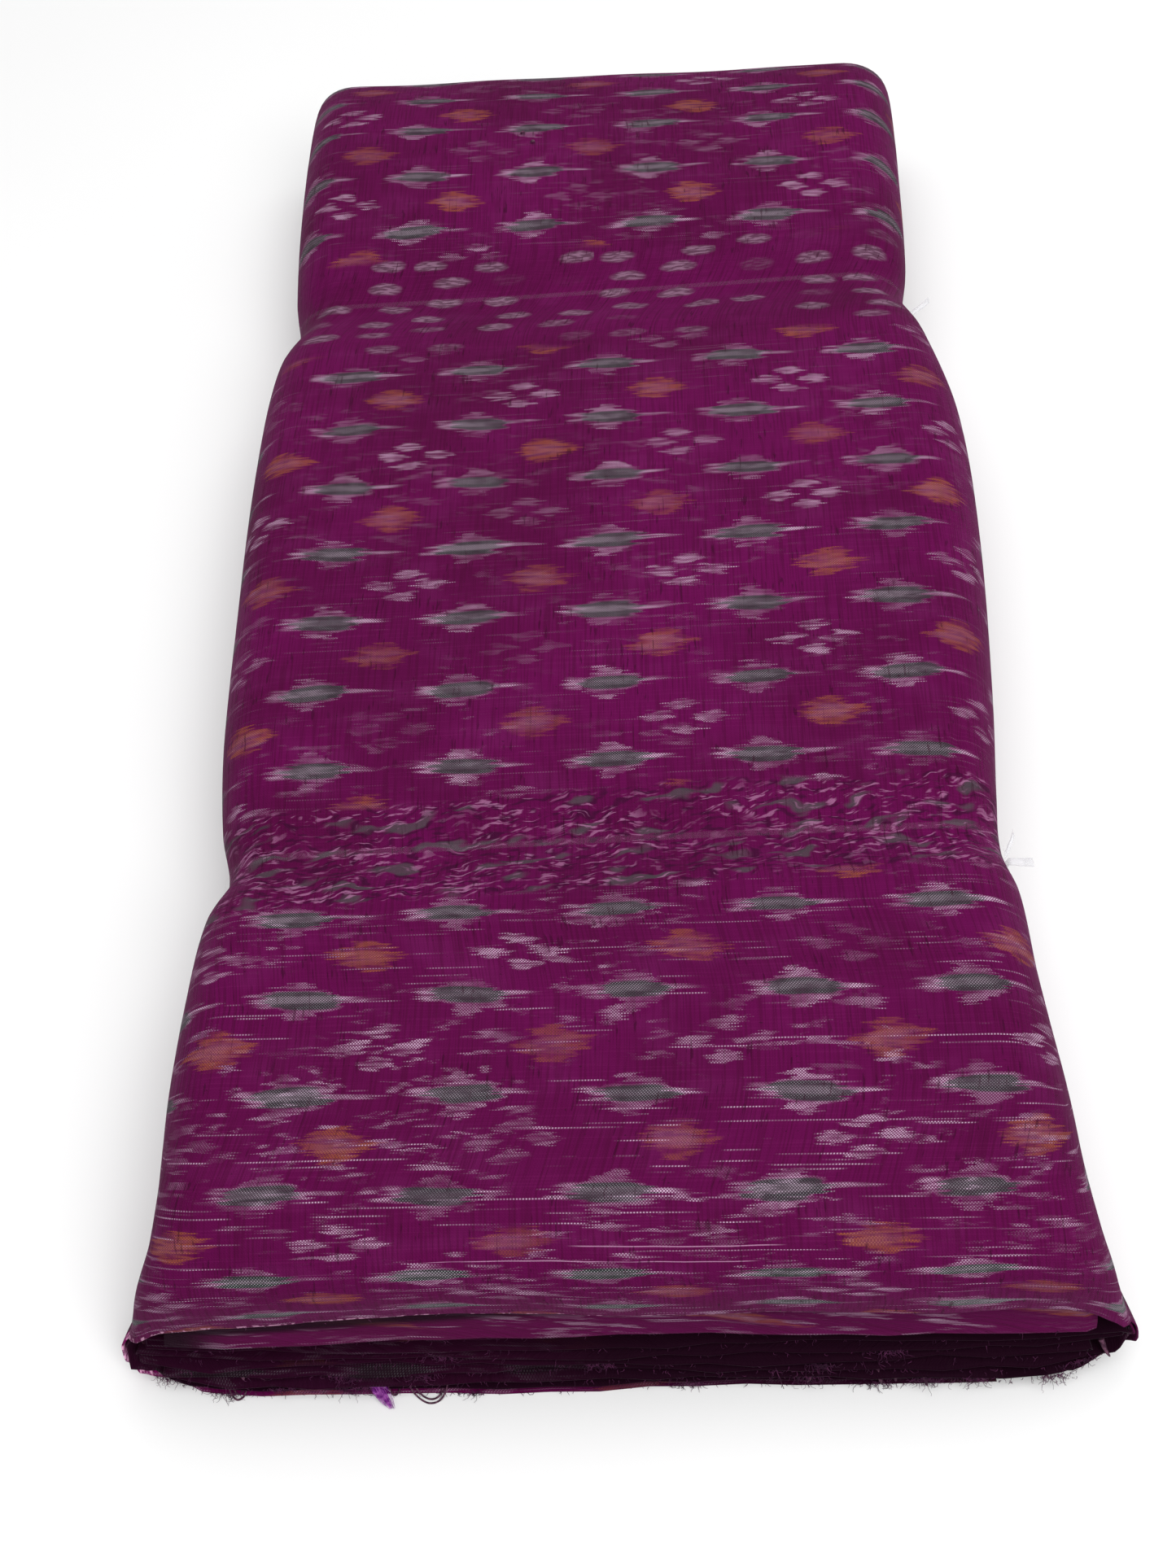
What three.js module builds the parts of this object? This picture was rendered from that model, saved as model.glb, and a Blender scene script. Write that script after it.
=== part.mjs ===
// A length of handwoven ikat cloth, folded flat into a bundle and pinched by two narrow clear ties.
// Millimetres. X runs across the bundle, +Y away from the open selvedge edges, +Z up.
// The origin is the bottom centre of the bundle.
//
// The cloth is one sheet. It starts flat as a slab, whose length is laid along a folded path (the laps,
// the small folds between them and the two outer turns), and whose width runs along the bundle.
import * as THREE from "three";

// Driving sizes of the bundle
const HALF_WIDTH = 150;
const HALF_LENGTH = 305;
const HEIGHT = 70;

// Driving sizes of the folded cloth
const LAPS = 9;
const LAP_THICKNESS = 4.2;
const LAP_PITCH = (HEIGHT - LAP_THICKNESS) / (LAPS - 1);
const TURN_REACH = 26;
const TURN_POWER = 2.3;
const FOLD_REACH = 4.6;
const INNER_FILL = 5;
const FILL_FROM = -240;
const LAP_END = HALF_WIDTH - LAP_THICKNESS / 2 - TURN_REACH;
const TUCKED_END = 108;
const INNER_END = 127;
const LIES_FLAT_WITHIN = 0.4;
const TURN_PIECES = 12;
const FOLD_PIECES = 3;

// Driving sizes of the ties
const TIE_WIDTH = 3.2;
const TIE_THICKNESS = 0.8;
const TIE_CLEARANCE = 0.95;
const TIE_GROOVE = 2.2;
const TIE_GROOVE_REACH = 8;

// The ties: where each crosses the bundle, and how far its two free ends reach out at the right-hand side
const TIES = [
  { name: "tie_front", y: -136, lowerEnd: [8, -3, -5], upperEnd: [9, 6, 2] },
  { name: "tie_back", y: 147, lowerEnd: [7, -2, -4], upperEnd: [9.5, 3, 2.5] },
];

// Where the laps stop lying flat and start to bend down to the front edges and to the far fold
const FRONT_BEND_FROM = -215;
const BACK_BEND_FROM = 255;

// Level of the second lap from the top: above it, the front edge hangs lower at the corners
const TOP_LAPS_FROM = 0.875;

// Outline of the bundle along its length: half-widths to the left and right of the centre line, and height
const STATIONS = [
  { y: -305, left: 164.0, right: 163.5, height: 70 },
  { y: -290, left: 161.5, right: 160.5, height: 70 },
  { y: -270, left: 152.5, right: 153.5, height: 70 },
  { y: -245, left: 147.8, right: 148.0, height: 70.5 },
  { y: -190, left: 145.5, right: 142.4, height: 70 },
  { y: -156, left: 143.8, right: 141.6, height: 66 },
  { y: -136, left: 138.3, right: 138.4, height: 60 },
  { y: -114, left: 142.0, right: 139.6, height: 65 },
  { y: -75, left: 144.8, right: 143.4, height: 69.5 },
  { y: 0, left: 146.4, right: 148.9, height: 71 },
  { y: 70, left: 146.5, right: 149.5, height: 70 },
  { y: 118, left: 144.4, right: 142.6, height: 65 },
  { y: 147, left: 138.2, right: 135.6, height: 58.5 },
  { y: 172, left: 140.9, right: 138.9, height: 63.5 },
  { y: 215, left: 141.9, right: 141.2, height: 69 },
  { y: 290, left: 142.5, right: 144.0, height: 71 },
  { y: 310, left: 141.5, right: 143.5, height: 70.5 },
];

// How the laps end at the front, from the bottom lap (level 0) to the top lap (level 1).
// edgeY and edgeZ place the selvedge; bendY and dropY, dropZ are the two inner points of its curve.
const FRONT_EDGES = [
  { level: 0.0, edgeY: -304.5, edgeZ: 1.2, bendY: -262, dropY: -285, dropZ: 1.3, thick: 0.6 },
  { level: 0.125, edgeY: -303.5, edgeZ: 5.6, bendY: -250, dropY: -268, dropZ: 5.6, thick: 0.45 },
  { level: 0.25, edgeY: -301.5, edgeZ: 8.8, bendY: -250, dropY: -264, dropZ: 8.8, thick: 0.45 },
  { level: 0.375, edgeY: -300.0, edgeZ: 11.9, bendY: -251, dropY: -262, dropZ: 11.9, thick: 0.45 },
  { level: 0.5, edgeY: -298.0, edgeZ: 15.0, bendY: -253, dropY: -262, dropZ: 15.0, thick: 0.45 },
  { level: 0.625, edgeY: -296.0, edgeZ: 18.1, bendY: -257, dropY: -263, dropZ: 18.1, thick: 0.42 },
  { level: 0.75, edgeY: -293.5, edgeZ: 21.2, bendY: -264, dropY: -266, dropZ: 21.2, thick: 0.4 },
  { level: 0.875, edgeY: -294.5, edgeZ: 26, bendY: -279, dropY: -281, dropZ: 45, thick: 0.42 },
  { level: 1.0, edgeY: -291.5, edgeZ: 41.5, bendY: -286, dropY: -289, dropZ: 62, thick: 0.5 },
];

// How the laps end at the far fold
const BACK_EDGES = [
  { level: 0.0, edgeY: 304, edgeZ: 1.2 },
  { level: 0.25, edgeY: 305, edgeZ: 17 },
  { level: 0.5, edgeY: 305, edgeZ: 31 },
  { level: 0.75, edgeY: 304, edgeZ: 45 },
  { level: 1.0, edgeY: 302, edgeZ: 58 },
];

// A value of a table, read at `at` along its column `by`, on a curve through its rows
function readTable(table, by, column, at) {
  const last = table.length - 1;
  const inside = Math.min(Math.max(at, table[0][by]), table[last][by]);
  let i = 0;
  while (i < last - 1 && inside > table[i + 1][by]) i += 1;
  const a = table[i];
  const b = table[i + 1];
  const before = table[Math.max(i - 1, 0)];
  const after = table[Math.min(i + 2, last)];
  const span = b[by] - a[by];
  const u = (inside - a[by]) / span;
  const slopeA = ((b[column] - before[column]) / (b[by] - before[by])) * span;
  const slopeB = ((after[column] - a[column]) / (after[by] - a[by])) * span;
  const u2 = u * u;
  const u3 = u2 * u;
  return (
    (2 * u3 - 3 * u2 + 1) * a[column] +
    (u3 - 2 * u2 + u) * slopeA +
    (3 * u2 - 2 * u3) * b[column] +
    (u3 - u2) * slopeB
  );
}

// A value of a table, read along straight lines between its rows
function readStraight(table, by, column, at) {
  const last = table.length - 1;
  const inside = Math.min(Math.max(at, table[0][by]), table[last][by]);
  let i = 0;
  while (i < last - 1 && inside > table[i + 1][by]) i += 1;
  const u = (inside - table[i][by]) / (table[i + 1][by] - table[i][by]);
  return THREE.MathUtils.lerp(table[i][column], table[i + 1][column], u);
}

// Cubic curve with its first point at u = 0
function cubic(p0, p1, p2, p3, u) {
  const r = 1 - u;
  return r * r * r * p0 + 3 * r * r * u * p1 + 3 * r * u * u * p2 + u * u * u * p3;
}

// Depth of the shallow groove that a tie lies in, under the bundle
function grooveAt(y) {
  const narrow = (tieY) => Math.exp(-(((y - tieY) / TIE_GROOVE_REACH) ** 2));
  return TIE_GROOVE * (narrow(TIES[0].y) + narrow(TIES[1].y));
}

// Height of the middle of a lap, counted from the bottom one
function lapHeight(lap) {
  return LAP_THICKNESS / 2 + lap * LAP_PITCH;
}

// Places a point of the folded sheet: x and h are its place in the section, v runs along the bundle
function placeMiddle(x, h, v) {
  const level = THREE.MathUtils.clamp(
    (h - LAP_THICKNESS / 2) / (HEIGHT - LAP_THICKNESS),
    0,
    1,
  );
  const side = x / HALF_WIDTH;
  let y = v;
  let z = h;
  if (v < FRONT_BEND_FROM) {
    const u = (v + HALF_LENGTH) / (FRONT_BEND_FROM + HALF_LENGTH);
    const read = (column) => readStraight(FRONT_EDGES, "level", column, level);
    const topShare = Math.max((level - TOP_LAPS_FROM) / (1 - TOP_LAPS_FROM), 0);
    const leftSag = 7 * THREE.MathUtils.smoothstep(-side, 0.2, 0.95);
    const cornerSag = 8 * THREE.MathUtils.smoothstep(side, 0.72, 0.98);
    const sag = topShare * (leftSag + cornerSag);
    const wave = 0.8 * Math.sin(4.3 * side + 9 * level) + 0.4 * Math.sin(11 * side - 14 * level);
    const corner = 6 * (1 - level) * THREE.MathUtils.smoothstep(Math.abs(side), 0.8, 1);
    y = cubic(read("edgeY") + wave + corner, read("dropY"), read("bendY"), FRONT_BEND_FROM, u);
    z = cubic(read("edgeZ") - sag, read("dropZ") - sag / 2, h, h, u);
  }
  if (v > BACK_BEND_FROM) {
    const u = (HALF_LENGTH - v) / (HALF_LENGTH - BACK_BEND_FROM);
    const edgeY = readTable(BACK_EDGES, "level", "edgeY", level) + 0.8 * Math.sin(6 * side + 8 * level);
    const edgeZ = readTable(BACK_EDGES, "level", "edgeZ", level);
    const roundY = THREE.MathUtils.lerp(BACK_BEND_FROM, edgeY, 0.6);
    y = cubic(edgeY, edgeY - 6, roundY, BACK_BEND_FROM, u);
    z = cubic(edgeZ, THREE.MathUtils.lerp(h, edgeZ, 0.4), h, h, u);
  }
  const half = readTable(STATIONS, "y", x < 0 ? "left" : "right", y);
  const height = readTable(STATIONS, "y", "height", y);
  const groove = grooveAt(y);
  const swell = 0.9 * level * Math.sin(2.6 * side + y / 62) * Math.cos(y / 41 - side);
  const slant = (y > 0 ? 1.5 - 8 * side : -2 * side) * (y / HALF_LENGTH) ** 2;
  return new THREE.Vector3(
    (x / HALF_WIDTH) * half,
    y + slant,
    groove + (z * (height - groove)) / HEIGHT + swell,
  );
}

// Share of the full thickness that a lap keeps: thin at the selvedges, squeezed under the ties, round at the fold
function thicknessShare(h, v) {
  const level = THREE.MathUtils.clamp(
    (h - LAP_THICKNESS / 2) / (HEIGHT - LAP_THICKNESS),
    0,
    1,
  );
  const squeezed = readTable(STATIONS, "y", "height", v) / HEIGHT;
  if (v < FRONT_BEND_FROM) {
    const u = (v + HALF_LENGTH) / (FRONT_BEND_FROM + HALF_LENGTH);
    const edge = readStraight(FRONT_EDGES, "level", "thick", level);
    return THREE.MathUtils.lerp(edge, squeezed, THREE.MathUtils.smoothstep(u, 0.45, 1));
  }
  if (v > BACK_BEND_FROM) {
    const u = (HALF_LENGTH - v) / (HALF_LENGTH - BACK_BEND_FROM);
    return squeezed * THREE.MathUtils.lerp(0.35, 0.95, Math.sqrt(Math.min(u * 4, 1)));
  }
  return squeezed;
}

// Share of the full pitch at which the laps lie above each other
function pitchShare(x, h, v) {
  const above = placeMiddle(x, h + LAP_PITCH / 4, v).z;
  const below = placeMiddle(x, h - LAP_PITCH / 4, v).z;
  return Math.min((above - below) / (LAP_PITCH / 2), 1);
}

// Unit normal of the sheet at a point of the section, whose path runs along (dx, dh).
// It points to the inner side of the outer turns.
function sheetNormal(x, h, dx, dh, v) {
  const step = 0.05;
  const along = placeMiddle(x + dx * step, h + dh * step, v).sub(
    placeMiddle(x - dx * step, h - dh * step, v),
  );
  const back = Math.min(v + step, HALF_LENGTH);
  const front = Math.max(v - step, -HALF_LENGTH);
  const lengthwise = placeMiddle(x, h, back).sub(placeMiddle(x, h, front));
  return lengthwise.cross(along).normalize();
}

// One stop on the folded path: its place in the section and its direction.
// A small fold is rooted where its lap ends, draws in towards there where the bundle is thin,
// and spreads outwards, by up to its fill, at the front corners.
function stop(x, h, dx, dh, root = x, fill = 0) {
  const length = Math.hypot(dx, dh);
  return { x, h, dx: dx / length, dh: dh / length, root, fill };
}

// Stops along a flat lap, at the same places across the bundle in every lap
function lapStops(lap, fromX, toX) {
  const places = [-100, -36, 36, 100];
  if (toX < fromX) places.reverse();
  const within = (x) => (x - fromX) * (x - toX) < 0;
  return places.filter(within).map((x) => stop(x, lapHeight(lap), toX - fromX, 0));
}

// Stops round an outer turn, from one lap to another, on the side that sign gives
function turnStops(fromLap, toLap, sign) {
  const middle = (lapHeight(fromLap) + lapHeight(toLap)) / 2;
  const rise = (lapHeight(toLap) - lapHeight(fromLap)) / 2;
  const flatten = 2 / TURN_POWER;
  const at = (angle) => {
    const c = Math.max(Math.cos(angle), 0);
    const s = Math.sin(angle);
    return {
      x: sign * (LAP_END + TURN_REACH * c ** flatten),
      h: middle + rise * Math.sign(s) * Math.abs(s) ** flatten,
    };
  };
  const stops = [];
  for (let i = 0; i <= TURN_PIECES; i += 1) {
    const angle = Math.PI * (i / TURN_PIECES - 0.5);
    const here = at(angle);
    const next = at(Math.min(angle + 0.02, Math.PI / 2));
    const last = at(Math.max(angle - 0.02, -Math.PI / 2));
    stops.push(stop(here.x, here.h, next.x - last.x, next.h - last.h));
  }
  return stops;
}

// Stops round a small inner fold between a lap and the next one up
function foldStops(lap, sign, endX, fill) {
  const middle = (lapHeight(lap) + lapHeight(lap + 1)) / 2;
  const stops = [];
  for (let i = 0; i <= FOLD_PIECES; i += 1) {
    const angle = Math.PI * (i / FOLD_PIECES - 0.5);
    stops.push(
      stop(
        sign * (endX + FOLD_REACH * Math.cos(angle)),
        middle + (LAP_PITCH / 2) * Math.sin(angle),
        -sign * FOLD_REACH * Math.sin(angle),
        (LAP_PITCH / 2) * Math.cos(angle),
        sign * endX,
        sign * fill,
      ),
    );
  }
  return stops;
}

// The whole folded path, from the end tucked under the bundle to the end hidden inside it.
// Each inner fold stands back from the outer turn by its own amount, and closes up to it at the front corner.
function foldedPath() {
  const top = LAPS - 1;
  const innerFolds = [
    { lap: 1, sign: -1, endX: 128, fill: 6.5 },
    { lap: 2, sign: 1, endX: 131, fill: 2.2 },
    { lap: 3, sign: -1, endX: 134, fill: 8.3 },
    { lap: 4, sign: 1, endX: 133, fill: 10.3 },
    { lap: 5, sign: -1, endX: 131.5, fill: 8.7 },
    { lap: 6, sign: 1, endX: 128, fill: 4 },
  ];
  const path = [stop(TUCKED_END, lapHeight(0), -1, 0)];
  path.push(...lapStops(0, TUCKED_END, -LAP_END));
  path.push(...turnStops(0, top, -1));
  path.push(...lapStops(top, -LAP_END, LAP_END));
  path.push(...turnStops(top, 1, 1));
  let fromX = LAP_END;
  for (const fold of innerFolds) {
    path.push(...lapStops(fold.lap, fromX, fold.sign * fold.endX));
    path.push(...foldStops(fold.lap, fold.sign, fold.endX, fold.fill));
    fromX = fold.sign * fold.endX;
  }
  path.push(...lapStops(top - 1, fromX, -INNER_END));
  path.push(stop(-INNER_END, lapHeight(top - 1), -1, 0, -INNER_END, -INNER_FILL));
  return path;
}

// Places along the bundle where the sheet has a row of points: close together where it bends or is pinched
function lengthwiseStops() {
  const bend = [0, 0.1, 0.22, 0.36, 0.52, 0.72].map((u) =>
    THREE.MathUtils.lerp(-HALF_LENGTH, FRONT_BEND_FROM, u),
  );
  const pinch = (tieY) => [-22, -10, -2.5, 2.5, 10, 22].map((off) => tieY + off);
  const flat = [-215, -182, ...pinch(TIES[0].y), -75, -27, 27, 80, ...pinch(TIES[1].y), 210];
  const fold = [1, 0.62, 0.36, 0.14, 0].map((u) =>
    THREE.MathUtils.lerp(HALF_LENGTH, BACK_BEND_FROM, u),
  );
  return [...bend, ...flat, ...fold];
}

function makeCloth() {
  const path = foldedPath();
  const rows = lengthwiseStops();
  const alongPath = path.length - 1;
  const alongBundle = rows.length - 1;
  const slab = new THREE.BoxGeometry(1, 1, 1, alongPath, 1, alongBundle);
  const points = slab.getAttribute("position");
  for (let i = 0; i < points.count; i += 1) {
    const here = path[Math.round((points.getX(i) + 0.5) * alongPath)];
    const v = rows[Math.round((points.getZ(i) + 0.5) * alongBundle)];
    const share = thicknessShare(here.h, v);
    const draw = here.x === here.root ? 1 : pitchShare(here.root, here.h, v);
    const filled = here.fill * THREE.MathUtils.smoothstep(-v, -FILL_FROM, HALF_LENGTH);
    const x = here.root + (here.x - here.root) * draw + filled;
    const place = placeMiddle(x, here.h, v);
    const normal = sheetNormal(x, here.h, here.dx * draw, here.dh, v);
    place.addScaledVector(normal, points.getY(i) * LAP_THICKNESS * share);
    points.setXYZ(i, place.x, place.y, place.z < LIES_FLAT_WITHIN ? 0 : place.z);
  }
  slab.computeVertexNormals();
  return slab;
}

// The loop of a tie, from one free end to the other. It leaves the right-hand side, goes down and under
// the bundle, up the left-hand side, over the top and back down to where it started.
function tieLoop(tie) {
  const top = LAPS - 1;
  const standOff = TIE_CLEARANCE + TIE_THICKNESS / 2;
  const outside = (s) => {
    const offset = (LAP_THICKNESS / 2) * thicknessShare(s.h, tie.y) + standOff;
    const place = placeMiddle(s.x, s.h, tie.y);
    return place.addScaledVector(sheetNormal(s.x, s.h, s.dx, s.dh, tie.y), -offset);
  };
  const rightTurn = turnStops(top, 1, 1).map(outside);
  const side = rightTurn[TURN_PIECES / 2];
  const tucked = outside(stop(TUCKED_END, lapHeight(0), -1, 0));
  const corner = new THREE.Vector3(6, 0, 0.4).add(tucked);
  const end = (lead, reach) =>
    new THREE.Vector3(side.x + lead[0] * reach, tie.y + lead[1] * reach, side.z + lead[2] * reach);
  return [
    ...[1, 0.55, 0.2].map((reach) => end(tie.lowerEnd, reach)),
    ...rightTurn.slice(TURN_PIECES / 2 + 1, TURN_PIECES),
    corner,
    tucked,
    ...lapStops(0, TUCKED_END, -LAP_END).map(outside),
    ...turnStops(0, top, -1).map(outside),
    ...lapStops(top, -LAP_END, LAP_END).map(outside),
    ...rightTurn.slice(0, TURN_PIECES / 2),
    ...[0.2, 0.55, 1].map((reach) => end(tie.upperEnd, reach)),
  ];
}

// A tie is a flat strip, bent along its loop
function makeTie(tie) {
  const loop = new THREE.CatmullRomCurve3(tieLoop(tie), false, "centripetal");
  const pieces = 84;
  const strip = new THREE.BoxGeometry(1, 1, 1, pieces, 1, 1);
  const points = strip.getAttribute("position");
  const across = new THREE.Vector3(0, 1, 0);
  for (let i = 0; i < points.count; i += 1) {
    const u = points.getX(i) + 0.5;
    const place = loop.getPointAt(u);
    const outward = across.clone().cross(loop.getTangentAt(u)).normalize();
    place.addScaledVector(outward, points.getY(i) * TIE_THICKNESS);
    place.addScaledVector(across, points.getZ(i) * TIE_WIDTH);
    points.setXYZ(i, place.x, place.y, place.z);
  }
  strip.computeVertexNormals();
  return strip;
}

const part = new THREE.Group();

const clothMaterial = new THREE.MeshStandardMaterial({ color: 0x7a0f62, roughness: 0.75, metalness: 0 });
const cloth = new THREE.Mesh(makeCloth(), clothMaterial);
cloth.name = "cloth";
part.add(cloth);

const clearPlastic = new THREE.MeshStandardMaterial({ color: 0xe6e2e8, roughness: 0.25, metalness: 0 });
for (const tie of TIES) {
  const mesh = new THREE.Mesh(makeTie(tie), clearPlastic);
  mesh.name = tie.name;
  part.add(mesh);
}

// The origin is moved to the bottom centre of the whole bundle
const middle = new THREE.Box3().setFromObject(part).getCenter(new THREE.Vector3());
for (const mesh of part.children) {
  mesh.geometry.translate(-middle.x, -middle.y, 0);
}

export default part;
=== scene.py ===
import math
import random
from functools import partial

import bmesh
import bpy
import numpy as np
from bpy.props import BoolProperty, FloatProperty, FloatVectorProperty, IntProperty, PointerProperty
from mathutils import Matrix, Vector


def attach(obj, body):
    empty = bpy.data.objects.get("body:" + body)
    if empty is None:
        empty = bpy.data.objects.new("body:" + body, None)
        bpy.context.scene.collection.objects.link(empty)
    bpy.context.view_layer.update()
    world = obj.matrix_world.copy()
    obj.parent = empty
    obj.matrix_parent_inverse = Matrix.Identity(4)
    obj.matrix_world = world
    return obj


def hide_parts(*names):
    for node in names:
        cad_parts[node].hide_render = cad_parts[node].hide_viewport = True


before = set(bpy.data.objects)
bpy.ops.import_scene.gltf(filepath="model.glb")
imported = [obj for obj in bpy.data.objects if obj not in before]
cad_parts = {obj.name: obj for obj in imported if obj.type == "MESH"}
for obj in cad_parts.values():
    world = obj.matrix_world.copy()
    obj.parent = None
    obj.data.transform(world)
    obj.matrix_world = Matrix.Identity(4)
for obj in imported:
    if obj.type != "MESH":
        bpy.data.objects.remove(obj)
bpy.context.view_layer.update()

bl_info = {
    "name": "Folded ikat cloth",
    "version": (1, 0, 0),
    "blender": (4, 5, 0),
    "location": "View3D > Sidebar > Cloth",
    "description": "A handwoven ikat length folded into a bundle and pinched by two clear ties",
    "category": "Object",
}

MM = 0.001

# Sizes of the fold, in millimetres, as the solids have them
HALF_WIDTH = 150.0
HALF_LENGTH = 305.0
HEIGHT = 70.0
LAPS = 9
LAP_THICKNESS = 4.2
LAP_PITCH = (HEIGHT - LAP_THICKNESS) / (LAPS - 1)
TURN_REACH = 26.0
TURN_POWER = 2.3
FOLD_REACH = 4.6
LAP_END = HALF_WIDTH - LAP_THICKNESS / 2 - TURN_REACH
TUCKED_END = 108.0
INNER_END = 127.0
INNER_FILL = 5.0
FILL_FROM = 240.0
FILM_OFFSET = 1.15
TIE_GROOVE = 2.2
TIE_GROOVE_REACH = 8.0
FRONT_TIE_Y = -136.0
BACK_TIE_Y = 147.0
TIES_Y = (FRONT_TIE_Y, BACK_TIE_Y)
FRONT_BEND_FROM = -215.0
BACK_BEND_FROM = 255.0
TOP_LAPS_FROM = 0.875
MIDDLE = np.array([-0.5453, 4.5572, 0.0])

# Least height of a loose fibre over the floor, in metres
FLOOR_GAP = 0.0002

# Outline along the bundle: y, half-width to the left, half-width to the right, height
STATIONS = (
    (-305, 164.0, 163.5, 70.0),
    (-290, 161.5, 160.5, 70.0),
    (-270, 152.5, 153.5, 70.0),
    (-245, 147.8, 148.0, 70.5),
    (-190, 145.5, 142.4, 70.0),
    (-156, 143.8, 141.6, 66.0),
    (-136, 138.3, 138.4, 60.0),
    (-114, 142.0, 139.6, 65.0),
    (-75, 144.8, 143.4, 69.5),
    (0, 146.4, 148.9, 71.0),
    (70, 146.5, 149.5, 70.0),
    (118, 144.4, 142.6, 65.0),
    (147, 138.2, 135.6, 58.5),
    (172, 140.9, 138.9, 63.5),
    (215, 141.9, 141.2, 69.0),
    (290, 142.5, 144.0, 71.0),
    (310, 141.5, 143.5, 70.5),
)

# Front ends of the laps: level, edge y, edge z, bend y, drop y, drop z, thickness share
FRONT_EDGES = (
    (0.000, -304.5, 1.2, -262, -285, 1.3, 0.60),
    (0.125, -303.5, 5.6, -250, -268, 5.6, 0.45),
    (0.250, -301.5, 8.8, -250, -264, 8.8, 0.45),
    (0.375, -300.0, 11.9, -251, -262, 11.9, 0.45),
    (0.500, -298.0, 15.0, -253, -262, 15.0, 0.45),
    (0.625, -296.0, 18.1, -257, -263, 18.1, 0.42),
    (0.750, -293.5, 21.2, -264, -266, 21.2, 0.40),
    (0.875, -294.5, 26.0, -279, -281, 45.0, 0.42),
    (1.000, -291.5, 41.5, -286, -289, 62.0, 0.50),
)

# Far ends of the laps: level, edge y, edge z
BACK_EDGES = (
    (0.00, 304, 1.2),
    (0.25, 305, 17),
    (0.50, 305, 31),
    (0.75, 304, 45),
    (1.00, 302, 58),
)

# How far the two selvedges of each lap stand back from the lap's end: lap, outer ply, inner ply
SELVEDGES = (
    (0, 0.4, 2.6),
    (1, 1.8, 0.3),
    (2, 0.5, 2.4),
    (3, 2.2, 0.6),
    (4, 0.3, 1.9),
    (5, 1.6, 0.2),
    (6, 0.8, 2.8),
    (7, 1.9, 0.4),
    (8, 0.2, 1.5),
)

# The small folds between the laps: lap below, side, end of the lap, how far it closes up at the front
SMALL_FOLDS = (
    (1, -1, 128.0, 6.5),
    (2, 1, 131.0, 2.2),
    (3, -1, 134.0, 8.3),
    (4, 1, 133.0, 10.3),
    (5, -1, 131.5, 8.7),
    (6, 1, 128.0, 4.0),
)

# Rows of the woven pattern along the bundle: y, pattern row, how far the row stands to the right
PATTERN_ROWS = (
    (-305.0, -13.45, 0.0),
    (-294.6, -13.0, 0.0),
    (-271.4, -12.0, -1.0),
    (-242.0, -11.0, -1.5),
    (-232.0, -10.54, 3.0),
    (-222.8, -10.0, 7.0),
    (-215.0, -9.48, 7.5),
    (-198.0, -9.0, 7.5),
    (-166.3, -8.0, 1.5),
    (-105.8, -6.0, 0.0),
    (-74.4, -5.0, 0.0),
    (-40.8, -4.0, 0.0),
    (-6.9, -3.0, 0.0),
    (26.2, -2.0, 0.0),
    (58.1, -1.0, 0.0),
    (92.8, 0.0, 0.0),
    (185.5, 3.0, 0.0),
    (218.5, 4.0, 0.0),
    (250.5, 5.0, 0.0),
    (268.2, 6.0, 0.0),
    (287.0, 7.0, 0.0),
    (305.0, 7.4, 0.0),
)

# The pattern on the flat cloth: pitch of its motifs, turn, place, columns of leaves and stars, selvedge
PATTERN_PITCH = (53.5, 32.8)
PATTERN_TURN = math.radians(0.7224)
PATTERN_LEFT = 6.23
FAR_SHIFT = 18.7
LEAF_COLUMN = 6.0
STAR_COLUMN = -26.75
STAR_STEP = 46.0
SELVEDGE_Y = 441.2

# Pale warp yarns that slipped: y in the pattern, wave, its depth, half thickness, middle, half length
SLIPPED_YARNS = (
    (-379.5, 17.0, 0.5, 0.22, 20.0, 30.0),
    (-386.5, 23.0, 0.7, 0.2, -6.0, 48.0),
)

# Dyes that the cloth's own colours turn to, and the last two, painted shades
HAZE_DYE = (0.160, 0.014, 0.105)
STREAK_DYE = (0.19, 0.012, 0.11)
WEFT_DYE = (0.055, 0.0015, 0.024)
SLUB_DYE = (0.026, 0.001, 0.011)
SPECK_DYE = (0.03, 0.002, 0.015)
SLOPE_LEAF_DYE = (0.007, 0.034, 0.022)
LEAF_DOTS = (0.62, 0.60, 0.64)
LEAF_HEART = (0.36, 0.27, 0.34)
STAR_HEART = (0.36, 0.17, 0.28)
SLIPPED_DYE = (0.5, 0.26, 0.42)
BAND_DARK = (0.030, 0.002, 0.020)
BAND_GREY = (0.062, 0.055, 0.062)
BAND_PALE = (0.42, 0.17, 0.33)
FAR_DARK = (0.07, 0.001, 0.035)
FAR_SPOT = (0.10, 0.062, 0.085)
FAR_FLECK = (0.30, 0.16, 0.25)
BEAD_DYE = (0.62, 0.32, 0.48)
DEEP_SHADE = (0.012, 0.0005, 0.007)
HEM_SHADE = (0.010, 0.0004, 0.006)

# Clumps of fuzz at the front: x in the section, lap, reach
CLUMPS = (
    (-136, 1, 4.0),
    (-117, 0, 5.0),
    (-99, 1, 3.5),
    (-82, 2, 6.0),
    (-77, 1, 5.5),
    (-60, 2, 5.0),
    (-44, 0, 4.0),
    (-52, 4, 4.0),
    (-6, 3, 3.5),
    (20, 0, 3.0),
    (54, 1, 5.5),
    (58, 3, 5.0),
    (74, 0, 5.0),
    (78, 4, 6.0),
    (88, 1, 5.5),
    (101, 1, 5.0),
    (124, 1, 5.0),
    (131, 2, 4.0),
)

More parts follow.
